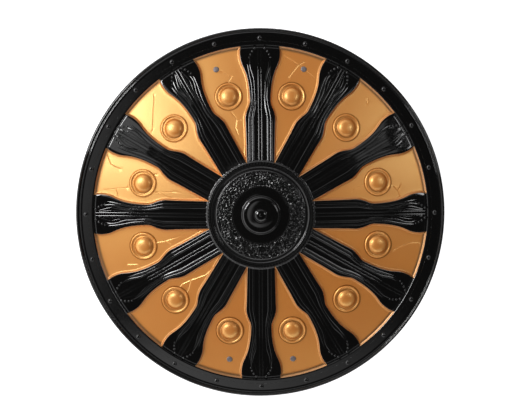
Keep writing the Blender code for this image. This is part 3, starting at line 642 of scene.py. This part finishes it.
# The rim's section as (radius, height) in mm, down inside its skirt, over its lip, to its band
RIM_RINGS = (
    (232.4, 11.4), (232.85, 0.8), (233.0, 0.2), (233.4, 0.0), (234.4, 0.0), (234.8, 0.1),
    (234.97, 0.6), (234.75, 6.0), (234.5, 11.4), (234.4, 12.6), (234.2, 13.6), (233.9, 14.3),
    (233.5, 14.8), (233.1, 15.1), (232.7, 15.3), (232.3, 15.45), (231.9, 15.5), (231.5, 15.4),
    (231.1, 15.0), (230.7, 14.3), (230.2, 13.9), (229.7, 14.0), (229.2, 14.35), (228.7, 14.6),
    (228.2, 14.72), (227.6, 14.68), (226.9, 14.6), (225.9, 14.6), (218.2, 14.6),
)
RIM_FOOT_START = (232.0, 12.3)
RIM_SEGMENTS = 232


def build_rim():
    """The rim, from the inside of its skirt, under its foot, up and over its lip to its band."""
    rim = bmesh.new()
    radius, height = RIM_FOOT_START
    bmesh.ops.create_circle(rim, segments=RIM_SEGMENTS, radius=radius * MM,
                            matrix=Matrix.Translation((0, 0, height * MM)))
    edges = rim.edges[:]
    for radius, height in RIM_RINGS:
        edges = extrude_to(rim, edges, radius * MM, height * MM)
    divide_ring(rim, edges, 2)
    return rim


def corner_shift(rise, run):
    """How far a wall's corners move sideways on the far side of a skin of the wall's thickness."""
    return WALL * math.tan(math.atan2(rise, run) / 2)


# The hollow side's walls and hub, the profiles as (radius, height) and the rings as radii, in mm
BACK_RUN = 0.0028
WALL_SHIFT = corner_shift(PANEL_DROP, BACK_RUN)
BACK_HUB = HUB_RADIUS - corner_shift(PANEL_DROP + 2 * MM, 1.2 * MM)
BACK_STEP = PANEL_RADIUS + WALL_SHIFT
BACK_HUB_PROFILE = ((0, 51.7), (15.2, 50.2), (20.9, 48.6), (21.5, 48.2), (22.3, 46.0),
                    (22.9, 45.4), (64.6, 42.25), (65.0, 42.1))
BACK_STUD_PROFILE = ((0, 6.3), (3.5, 5.6), (6.8, 3.6), (9.0, 1.6), (11.0, 0.15), (12.0, 0))
STUD_BACK_REACH = 0.0115
BACK_HUB_RINGS = (65.6, 65.0, 64.0, 56, 46, 36, 28, 24, 23, 22.4, 21.8, 21.2, 20.4, 17, 12, 7)
BACK_RIM_RINGS = (221.0, 225.0)


def back_height(x, y):
    """Height of the shield's hollow side at points in plan."""
    radius, across = rib_place(x, y)
    within = np.clip(radius, BACK_HUB, PANEL_RADIUS)
    roof_edge = half_width(RIB_EDGE, radius) - WALL_SHIFT
    roof = PANEL_DROP - FIELD_DEPTH * (1 - soft_step(radius, 0.192, 0.204))
    side = roof * wall_share(np.abs(across) - roof_edge) * (1 - soft_step(radius, 0.2074, 0.2094))
    stud = stud_rise(x, y, BACK_STUD_PROFILE)
    step = PANEL_DROP * soft_step(radius, BACK_STEP, BACK_STEP + BACK_RUN)
    outside = floor_height(within) + np.maximum(np.maximum(side, stud), step) - WALL
    outside = np.where(radius >= BACK_STEP + BACK_RUN - 1e-6, RIM_HEIGHT - WALL, outside)
    hub_radii, hub_heights = np.array(BACK_HUB_PROFILE).T * MM
    hub = np.interp(radius, hub_radii, hub_heights)
    foot = soft_step(radius, BACK_HUB - 1.2 * MM, BACK_HUB)
    return np.where(radius >= BACK_HUB, outside, hub * (1 - foot) + outside * foot)


def back_columns(radius):
    roof_edge = float(half_width(RIB_EDGE, radius)) - WALL_SHIFT
    return [0, roof_edge * 0.5, roof_edge - 0.4 * MM, roof_edge + 0.8 * MM, roof_edge + 1.9 * MM,
            roof_edge + BACK_RUN]


def build_back():
    """The hollow side, which follows the face at the wall's thickness."""
    hollow = bmesh.new()
    rows = [BACK_HUB, *np.linspace(0.069, 0.116, 7), *np.linspace(0.120, 0.150, 8),
            *np.linspace(0.155, 0.206, 11), 0.2074, 0.2084, 0.2094, BACK_STEP, BACK_STEP + 0.9 * MM,
            BACK_STEP + 1.9 * MM, BACK_STEP + BACK_RUN, BACK_STEP + BACK_RUN + 1 * MM]
    sector_grid(hollow, rows, back_columns, floor_columns=4)
    outer, inner = loop_at(hollow, rows[-1]), loop_at(hollow, BACK_HUB)
    refine(hollow, lambda x, y: stud_distance(x, y) < STUD_BACK_REACH, cuts=2)
    inner = extrude_rings(hollow, inner, BACK_HUB_RINGS, 4)
    made = bmesh.ops.extrude_edge_only(hollow, edges=inner)["geom"]
    tip = [item for item in made if isinstance(item, bmesh.types.BMVert)]
    bmesh.ops.pointmerge(hollow, verts=tip, merge_co=(0, 0, 0))
    extrude_rings(hollow, outer, BACK_RIM_RINGS, 2)
    set_heights(hollow, back_height)
    return hollow


def finish_mesh(bm, name, *materials):
    mesh = bpy.data.meshes.new(name)
    bm.to_mesh(mesh)
    bm.free()
    piece = bpy.data.objects.new(name, mesh)
    bpy.context.scene.collection.objects.link(piece)
    for material in materials:
        mesh.materials.append(material)
    mesh.shade_smooth()
    return piece


# Distance to the paint's edge where no such edge is near
NO_EDGE = 0.05


def build_shell(black, gold):
    """The whole thin moulding: its face, its rim and its hollow side, as one closed skin."""
    bm = bmesh.new()
    build_front(bm)
    set_heights(bm, face_height)
    front, front_points = len(bm.faces), len(bm.verts)
    join_mesh(bm, build_rim())
    join_mesh(bm, build_back())
    bridge(bm, FACE_RIM_RINGS[-1], RIM_RINGS[-1][0])
    bridge(bm, RIM_FOOT_START[0], BACK_RIM_RINGS[-1])
    bmesh.ops.recalc_face_normals(bm, faces=bm.faces)
    bm.faces.ensure_lookup_table()
    for face in bm.faces[:front]:
        middle = face.calc_center_median()
        radius, across = rib_place(middle.x, middle.y)
        if HUB_RADIUS < radius < PAINT_END:
            face.material_index = int(abs(across) > half_width(RIB_EDGE, radius))
    shell = finish_mesh(bm, "shield_moulding", black, gold)
    mesh = shell.data
    places = np.empty(len(mesh.vertices) * 3)
    mesh.vertices.foreach_get("co", places)
    x, y = places[0::3], places[1::3]
    radius, across = rib_place(x, y)
    edge = half_width(RIB_EDGE, radius) - np.abs(across)
    edge = np.where((radius > HUB_RADIUS - MM) & (radius < PANEL_END), edge, NO_EDGE)
    radius[front_points:] = 0
    for name, values in (("paint_edge", edge), ("rib_across", across), ("rib_radius", radius)):
        layer = mesh.attributes.new(name, "FLOAT", "POINT")
        layer.data.foreach_set("value", values.astype(np.float32))
    return shell


def stand_on_slope(form, place, radius):
    """Leans an upright form square to the panels' slope at a radius, and moves it to its place."""
    lean = Matrix.Rotation(-math.atan(floor_slope(radius)), 4, "X")
    bmesh.ops.transform(form, matrix=Matrix.Translation(place) @ lean, verts=form.verts)


def build_studs(gold):
    """The twelve domed studs with their collars, each standing square on its panel's slope."""
    form = turned_form(STUD_PROFILE, 44)
    stand_on_slope(form, (0, STUD_CIRCLE, floor_height(STUD_CIRCLE)), STUD_CIRCLE)
    repeat_round(form, RIB_COUNT, SECTOR / 2)
    return finish_mesh(form, "panel_studs", gold)


def build_beads(black):
    """The beads along both sides of every rib's bud, each standing square on the rib's slope."""
    bm = bmesh.new()
    for radius, across, size in BUD_BEADS:
        for side in (-1, 1):
            form = turned_form([(r * size, h * size) for r, h in BEAD_PROFILE], 14)
            place = math.hypot(radius, across) * MM
            top = floor_height(place) + PANEL_DROP
            stand_on_slope(form, (side * across * MM, radius * MM, top), place)
            repeat_round(form, RIB_COUNT, 0)
            join_mesh(bm, form)
    return finish_mesh(bm, "rib_beads", black)


def build_rim_rivets(black):
    """The small moulded rivets round the rim band."""
    form = turned_form(RIM_RIVET_PROFILE, 20)
    bmesh.ops.translate(form, vec=(0, RIM_RIVET_CIRCLE, RIM_HEIGHT), verts=form.verts)
    repeat_round(form, RIM_RIVETS, 0)
    return finish_mesh(form, "rim_rivets", black)


def fastener_place(x, y):
    """A fastener's own axes, with its origin on the panel's floor and its Z along the normal."""
    radius = math.hypot(x, y)
    slope = floor_slope(radius, 0.2 * MM)
    normal = Vector((slope * x / radius, slope * y / radius, 1)).normalized()
    turn = Vector((0, 0, 1)).rotation_difference(normal).to_matrix().to_4x4()
    return Matrix.Translation((x, y, floor_height(radius))) @ turn


def build_fastener(name, place, metal):
    """A domed head on the face, its shank, and a flat head behind the strap."""
    seat = WALL * place.col[2].z / MM
    back = -(seat + STRAP_THICKNESS / MM + 3 * CLEARANCE / MM)
    profile = ((0, 1.15), (1.2, 1.13), (2.2, 1.05), (2.9, 0.9), (3.35, 0.7), (3.65, 0.45),
               (3.7, 0.3), (3.6, 0.22), (1.6, 0.22), (1.6, back), (4.1, back), (4.2, back - 0.2),
               (4.1, back - 0.75), (3.8, back - 1.1), (3.4, back - 1.2), (1.4, back - 1.2),
               (1.2, back - 1.05), (0.4, back - 1.0))
    form = turned_form(profile, 32)
    bmesh.ops.transform(form, matrix=place, verts=form.verts)
    return finish_mesh(form, name, metal)


def strap_path(half_span, y):
    """Stations along a strap's middle: points, with the way the strap is flat at each."""
    place = fastener_place(half_span, y)
    normal = place.col[2].to_3d()
    depth = WALL * normal.z + CLEARANCE + STRAP_THICKNESS / 2
    seat = place.translation - normal * depth
    inward = (Vector((-1, 0, 0)) + normal * normal.x).normalized()
    start = seat + inward * STRAP_TAB
    middle = Vector((0, y, STRAP_FLOOR_GAP + STRAP_THICKNESS / 2))
    reach = (start - middle).length
    half = [(seat - inward * STRAP_TAB * k / 4, normal) for k in (4, 3, 2, 1, 0)]
    half += [(seat + inward * STRAP_TAB * k / 4, normal) for k in (1, 2, 3, 4)]
    for step in range(1, 17):
        t = step / 16
        point = curve(t, start, reach * inward, middle, reach * Vector((-1, 0, 0)))
        half.append((point, normal.lerp(Vector((0, 0, 1)), t).normalized()))
    other = [(Vector((-p.x, p.y, p.z)), Vector((-n.x, n.y, n.z))) for p, n in half[-2::-1]]
    return half + other


def build_strap(name, half_span, y, rib, plastic):
    """A flat plastic strap with rounded edges and a raised border along both sides."""
    path = strap_path(half_span, y)
    side = (-1, -0.97, -0.9, -0.84, -0.78, -0.4, 0, 0.4, 0.78, 0.84, 0.9, 0.97, 1)
    drop = (0.5, 0.18, 0, 0, 0.22, 0.22, 0.22, 0.22, 0.22, 0, 0, 0.18, 0.5)
    bm = bmesh.new()
    strips = len(side) - 1
    sheet = bmesh.ops.create_grid(bm, x_segments=len(path) - 1, y_segments=strips, size=1)["verts"]
    upper = {vert: (round((vert.co.x + 1) / 2 * (len(path) - 1)),
                    round((vert.co.y + 1) / 2 * strips)) for vert in sheet}
    border = [edge for edge in bm.edges if edge.is_boundary]
    copy = bmesh.ops.duplicate(bm, geom=bm.verts[:] + bm.edges[:] + bm.faces[:])
    lower = {copy["vert_map"][vert]: place for vert, place in upper.items()}
    matching = [copy["edge_map"][edge] for edge in border]
    for verts, way in ((upper, -1), (lower, 1)):
        for vert, (station, strip) in verts.items():
            point, flat = path[station]
            ahead = path[min(station + 1, len(path) - 1)][0] - path[max(station - 1, 0)][0]
            across = flat.cross(ahead).normalized()
            flat = ahead.cross(across).normalized()
            end = min(station, len(path) - 1 - station) * STRAP_TAB / 4
            narrow = 1 - 0.12 * max(0, 1 - end / (3 * MM)) ** 2
            rise = STRAP_THICKNESS * (0.5 - 0.45 * drop[strip] * (1 if way < 0 else 0.6))
            if end == 0:
                rise *= 0.75
            vert.co = point + across * side[strip] * STRAP_WIDTH / 2 * narrow + flat * rise * way
    bmesh.ops.bridge_loops(bm, edges=border + matching)
    bmesh.ops.transform(bm, matrix=Matrix.Rotation(-rib * SECTOR, 4, "Z"), verts=bm.verts)
    bmesh.ops.recalc_face_normals(bm, faces=bm.faces)
    return finish_mesh(bm, name, plastic)


def build_hangings(plastic, metal):
    """Both straps with their four fasteners, as (piece, node it stands for, slot)."""
    pieces = []
    for name, rib, turn, left in (("arm", 0, ARM_TURN, -1), ("hand", RIB_COUNT // 2, HAND_TURN, 1)):
        turn += SECTOR / 2
        x, y = RIVET_CIRCLE * math.sin(turn), RIVET_CIRCLE * math.cos(turn)
        strap = build_strap(f"{name}_strap_band", x, y, rib, plastic)
        pieces.append((strap, f"{name}_strap", "strap_plastic"))
        for side, hand in ((left, "left"), (-left, "right")):
            place = Matrix.Rotation(-rib * SECTOR, 4, "Z") @ fastener_place(side * x, y)
            rivet = build_fastener(f"fastener_{name}_{hand}", place, metal)
            pieces.append((rivet, f"rivet_{name}_{hand}", "grey_metal"))
    return pieces


def feed(tree, node, values):
    """Gives a node's inputs their values, or links them to other nodes' outputs."""
    for name, value in values.items():
        if isinstance(value, bpy.types.NodeSocket):
            tree.links.new(value, node.inputs[name])
        else:
            node.inputs[name].default_value = value


def add_node(tree, kind, values):
    node = tree.nodes.new(f"ShaderNode{kind}")
    feed(tree, node, values)
    return node


def add_noise(tree, vector, scale, detail=3.0, roughness=0.55):
    return add_node(tree, "TexNoise", {"Vector": vector, "Scale": scale, "Detail": detail,
                                       "Roughness": roughness}).outputs["Fac"]


def add_range(tree, value, low, high, to_low=0.0, to_high=1.0):
    return add_node(tree, "MapRange", {"Value": value, "From Min": low, "From Max": high,
                                       "To Min": to_low, "To Max": to_high}).outputs["Result"]


def add_math(tree, operation, first, second=0.0):
    node = tree.nodes.new("ShaderNodeMath")
    node.operation = operation
    feed(tree, node, {0: first, 1: second})
    return node.outputs["Value"]


def multiply(tree, first, second):
    return add_math(tree, "MULTIPLY", first, second)


def add_mix(tree, factor, first, second):
    mix = tree.nodes.new("ShaderNodeMix")
    mix.data_type = "RGBA"
    sockets = [s for s in mix.inputs if s.type == "RGBA"]
    tree.links.new(factor, mix.inputs[0])
    for socket, value in zip(sockets, (first, second)):
        if isinstance(value, tuple):
            socket.default_value = (*value, 1)
        else:
            tree.links.new(value, socket)
    return next(s for s in mix.outputs if s.type == "RGBA")


SURFACE_SETTINGS = ("Ripple Scale", "Scuff Scale", "Roughness Low", "Roughness High", "Ripple",
                    "Grain")


def moulded_surface_group():
    """Moulding ripple, fine scuffs and dust, shared by the plastics and the paint."""
    group = bpy.data.node_groups.new("moulded_surface", "ShaderNodeTree")
    for way, labels in (("INPUT", SURFACE_SETTINGS), ("OUTPUT", ("Mottle", "Roughness", "Height"))):
        for label in labels:
            group.interface.new_socket(label, in_out=way, socket_type="NodeSocketFloat")
    given = group.nodes.new("NodeGroupInput").outputs
    where = group.nodes.new("ShaderNodeTexCoord").outputs["Object"]
    ripple = add_noise(group, where, given["Ripple Scale"], 2.0, 0.5)
    scuff = add_noise(group, where, given["Scuff Scale"], 5.0, 0.65)
    mottle = add_range(group, scuff, 0.35, 0.7)
    low = multiply(group, ripple, given["Ripple"])
    fine = multiply(group, scuff, given["Grain"])
    feed(group, group.nodes.new("NodeGroupOutput"), {
        "Mottle": mottle, "Height": add_math(group, "ADD", low, fine),
        "Roughness": add_range(group, mottle, 0.0, 1.0, given["Roughness Low"],
                               given["Roughness High"])})
    return group


def surface(name, group, settings, bump_distance):
    """A new material with the shared surface group, its bump, and its principled shader. Its
    settings stand in the order of SURFACE_SETTINGS."""
    material = bpy.data.materials.new(name)
    material.use_nodes = True
    tree = material.node_tree
    shader = tree.nodes["Principled BSDF"]
    use = tree.nodes.new("ShaderNodeGroup")
    use.node_tree = group
    feed(tree, use, dict(zip(SURFACE_SETTINGS, settings)))
    bump = add_node(tree, "Bump", {"Strength": 1.0, "Distance": bump_distance,
                                   "Height": use.outputs["Height"]})
    feed(tree, shader, {"Normal": bump.outputs["Normal"], "Roughness": use.outputs["Roughness"]})
    return material, tree, shader, use.outputs["Mottle"]


def attribute(tree, name):
    node = tree.nodes.new("ShaderNodeAttribute")
    node.attribute_name = name
    return node.outputs["Fac"]


def black_plastic(group):
    """Thin glossy black moulding plastic, with a trace of gold overspray along the panels."""
    material, tree, shader, mottle = surface(
        "black_plastic_gloss", group, (45.0, 420.0, 0.05, 0.09, 0.035, 0.001), 0.0006)
    plain = add_mix(tree, mottle, (0.0014, 0.0013, 0.0013), (0.0034, 0.0031, 0.0029))
    radius = attribute(tree, "rib_radius")
    spray = add_range(tree, attribute(tree, "paint_edge"), 0.0, 0.0011, 1.0, 0.0)
    spray = multiply(tree, spray, add_range(tree, radius, 0.01, 0.02))
    where = tree.nodes.new("ShaderNodeTexCoord").outputs["Object"]
    patchy = add_range(tree, add_noise(tree, where, 130.0), 0.5, 0.72, 0.0, 0.5)
    colour = add_mix(tree, multiply(tree, spray, patchy), plain, (0.10, 0.055, 0.02))
    band = multiply(tree, add_range(tree, radius, 0.0358, 0.0372),
                    add_range(tree, radius, 0.0550, 0.0538))
    cells = add_node(tree, "TexVoronoi", {"Vector": where, "Scale": 430.0})
    dip = add_math(tree, "POWER", cells.outputs["Distance"], 2.0)
    grains = add_node(tree, "Bump", {
        "Distance": 0.0004, "Height": multiply(tree, band, dip),
        "Normal": shader.inputs["Normal"].links[0].from_socket})
    grains.invert = True
    feed(tree, shader, {"Base Color": colour, "IOR": 1.62, "Normal": grains.outputs["Normal"]})
    return material


def stud_shade(tree, where):
    """Painted shade in the creases round each stud and on the lower flank of its dome, by the
    distance in plan from the nearest stud.
    """
    parts = add_node(tree, "SeparateXYZ", {"Vector": where}).outputs
    x, y = parts["X"], parts["Y"]
    turn = add_math(tree, "ARCTAN2", x, y)
    sector = add_math(tree, "FLOOR", add_math(tree, "DIVIDE", turn, SECTOR))
    middle = multiply(tree, add_math(tree, "ADD", sector, 0.5), SECTOR)
    gap_x = add_math(tree, "SUBTRACT", x,
                     multiply(tree, add_math(tree, "SINE", middle), STUD_CIRCLE))
    gap_y = add_math(tree, "SUBTRACT", y,
                     multiply(tree, add_math(tree, "COSINE", middle), STUD_CIRCLE))
    away = add_math(tree, "SQRT", add_math(tree, "ADD", multiply(tree, gap_x, gap_x),
                                           multiply(tree, gap_y, gap_y)))
    shade = None
    # Rings of painted shade: at the collar's outer foot, in its groove, and over the dome's lower
    # flank.
    for place, width, share in ((17.4, 1.2, 0.75), (12.4, 1.2, 0.65), (11.2, 4.2, 0.55)):
        off = add_math(tree, "ABSOLUTE", add_math(tree, "SUBTRACT", away, place * MM))
        crease = add_range(tree, off, 0.0, width * MM, share, 0.0)
        shade = add_math(tree, "MAXIMUM", shade, crease) if shade else crease
    return shade


def gold_paint(group):
    """Satin gold paint, sprayed a little unevenly over the panels, darker and duller over the rib
    walls and the panels' outer ends, partly as thin paint and partly as painted shade, with painted
    shade round the studs.
    """
    material, tree, shader, _ = surface(
        "gold_paint_satin", group, (35.0, 900.0, 0.38, 0.45, 0.25, 0.03), 0.0006)
    where = tree.nodes.new("ShaderNodeTexCoord").outputs["Object"]
    cloud = add_range(tree, add_noise(tree, where, 14.0, 2.0), 0.35, 0.65)
    plain = add_mix(tree, cloud, (0.86, 0.190, 0.008), (0.90, 0.220, 0.012))
    flakes = add_range(tree, add_noise(tree, where, 1500.0, 1.0), 0.55, 0.75, 0.0, 0.3)
    colour = add_mix(tree, flakes, plain, (0.92, 0.42, 0.06))
    # Darker, duller paint on the rib walls, strongest just below their top edges: partly thin paint
    # at the edge of the spray, partly painted shade on the walls.
    thin = add_range(tree, attribute(tree, "paint_edge"), -0.0034, -0.0010, 0.0, 0.85)
    radius = attribute(tree, "rib_radius")
    thin = multiply(tree, thin, add_range(tree, radius, 0.01, 0.02))
    # The panels' outer ends, from the foot of the step wall up to the paint's end, are darkened the
    # same way: partly thin paint, partly painted shade.
    thin = add_math(tree, "MAXIMUM", thin, add_range(tree, radius, 0.2070, 0.2096, 0.0, 0.9))
    # Painted shade in the creases round the studs and on their domes' flanks.
    shade = stud_shade(tree, where)
    colour = add_mix(tree, thin, colour, (0.46, 0.25, 0.11))
    colour = add_mix(tree, shade, colour, (0.20, 0.070, 0.016))
    # Where the paint is thin or darkened by painted shade, its metal share rises.
    thin_paint_and_painted_shade = add_math(tree, "MAXIMUM", thin, shade)
    feed(tree, shader, {
        "Base Color": colour, "Metallic": add_range(tree, thin_paint_and_painted_shade, 0.0, 0.85, 0.12, 0.92),
        "IOR": 4.5, "Specular Tint": (1.0, 0.93, 0.40, 1), "Coat Roughness": 0.26,
        "Coat Weight": add_range(tree, thin, 0.0, 0.85, 0.1, 0.7)})
    return material


def plain_surface(name, group, settings, bump_distance, dark, light, metallic=0.0):
    """A material with one mottled colour."""
    material, tree, shader, mottle = surface(name, group, settings, bump_distance)
    feed(tree, shader, {"Base Color": add_mix(tree, mottle, dark, light), "Metallic": metallic})
    return material


def strap_plastic(group):
    """Soft matt black strap plastic with a fine pebbled grain."""
    return plain_surface("strap_plastic_matt", group, (90.0, 1400.0, 0.48, 0.66, 0.2, 0.35),
                         0.0005, (0.012, 0.012, 0.013), (0.026, 0.025, 0.024))


def grey_metal(group):
    """Dull plated metal of the fasteners, slightly scuffed."""
    return plain_surface("grey_metal_dull", group, (500.0, 2200.0, 0.42, 0.60, 0.3, 0.2),
                         0.0002, (0.19, 0.165, 0.17), (0.31, 0.275, 0.28), 0.5)


def build_floor():
    bm = bmesh.new()
    bmesh.ops.create_grid(bm, x_segments=2, y_segments=2, size=4.0)
    material = bpy.data.materials.new("studio_floor")
    material.use_nodes = True
    tree = material.node_tree
    seen = tree.nodes.new("ShaderNodeLightPath").outputs["Is Camera Ray"]
    feed(tree, tree.nodes["Principled BSDF"], {
        "Base Color": (0.80, 0.80, 0.80, 1), "Roughness": 0.9, "Specular IOR Level": 0.1,
        "Emission Color": (1, 1, 1, 1), "Emission Strength": seen})
    floor = finish_mesh(bm, "floor", material)


LIGHT_DISTANCE = 1.9


def softbox(name, turn, lean, size, power):
    """A flat light that faces the shield's middle. Lean is its angle from straight above."""
    light = bpy.data.lights.new(name, "AREA")
    light.shape = "RECTANGLE"
    light.size, light.size_y = size
    light.energy = power
    lamp = bpy.data.objects.new(name, light)
    turn, lean = math.radians(turn), math.radians(lean)
    way = Vector((math.sin(lean) * math.sin(turn), math.sin(lean) * math.cos(turn), math.cos(lean)))
    lamp.matrix_world = (Matrix.Translation(way * LIGHT_DISTANCE)
                         @ way.to_track_quat("Z", "Y").to_matrix().to_4x4())
    bpy.context.scene.collection.objects.link(lamp)


def build_room():
    """A room that is dim overhead and light near the horizon, most of all on the left, with
    faint patches of light close to the camera on that side and below it."""
    world = bpy.data.worlds.new("studio_room")
    world.use_nodes = True
    tree = world.node_tree
    way = tree.nodes.new("ShaderNodeTexCoord").outputs["Generated"]
    parts = add_node(tree, "SeparateXYZ", {"Vector": way}).outputs
    leftward = tree.nodes.new("ShaderNodeVectorMath")
    leftward.operation = "DOT_PRODUCT"
    feed(tree, leftward, {0: way, 1: (-0.97, 0.24, 0)})
    left, up = leftward.outputs["Value"], parts["Z"]
    horizon = multiply(tree, add_range(tree, up, 0.72, 0.50),
                       add_range(tree, left, -0.5, 0.85, 0.12, 1.7))
    patch = multiply(tree, add_range(tree, up, 0.970, 0.978),
                     add_range(tree, up, 0.9985, 0.9955))
    low = multiply(tree, add_range(tree, parts["Y"], -0.135, -0.163),
                   add_range(tree, parts["X"], -0.05, 0.08, 0.85, 0.30))
    sides = add_math(tree, "ADD", add_range(tree, left, 0.05, 0.12, 0.0, 0.7), low)
    patch = multiply(tree, patch, sides)
    glow = add_math(tree, "ADD", add_math(tree, "ADD", horizon, patch), 0.04)
    feed(tree, tree.nodes["Background"], {"Color": (1, 1, 1, 1), "Strength": glow})
    bpy.context.scene.world = world


def build_light():
    softbox("key_strip", 300, 44.5, (0.66, 0.28), 14)
    softbox("key_glow", 297, 33.5, (0.55, 0.30), 0.5)
    softbox("fill_strip", 70, 44, (0.56, 0.26), 2.9)
    softbox("fill_glow", 62, 32.5, (0.50, 0.26), 0.25)
    softbox("low_strip", 165, 66, (2.2, 0.90), 5.5)
    build_room()
    bpy.context.scene.view_settings.view_transform = "Standard"
    bpy.context.scene.view_settings.look = "None"


def build_camera():
    """The camera stands above the shield, leaning a little towards its upper edge."""
    toward = Vector((-0.0129, 0.0610, 0.998)).normalized()
    target = Vector((-0.0005, 0.0060, 0))
    distance = 1.849
    across = Vector((0.0047, 1, 0)).cross(toward).normalized()
    upward = toward.cross(across)
    lens = bpy.data.cameras.new("front_camera")
    lens.lens = 100
    lens.sensor_width = 36
    lens.clip_start = 0.05
    camera = bpy.data.objects.new("front_camera", lens)
    matrix = Matrix((across, upward, toward)).transposed().to_4x4()
    matrix.translation = target + toward * distance
    camera.matrix_world = matrix
    bpy.context.scene.collection.objects.link(camera)
    bpy.context.scene.camera = camera


build_camera()
build_light()
build_floor()
moulded = moulded_surface_group()
black, gold = black_plastic(moulded), gold_paint(moulded)
pieces = [
    (build_shell(black, gold), "shield_shell", "black_plastic"),
    (build_beads(black), "shield_shell", "black_plastic"),
    (build_studs(gold), "shield_shell", "gold_paint"),
    (build_rim_rivets(black), "shield_shell", "black_plastic"),
]
pieces += build_hangings(strap_plastic(moulded), grey_metal(moulded))
for piece, node, slot in pieces:
    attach(piece, "root")
    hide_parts(node)
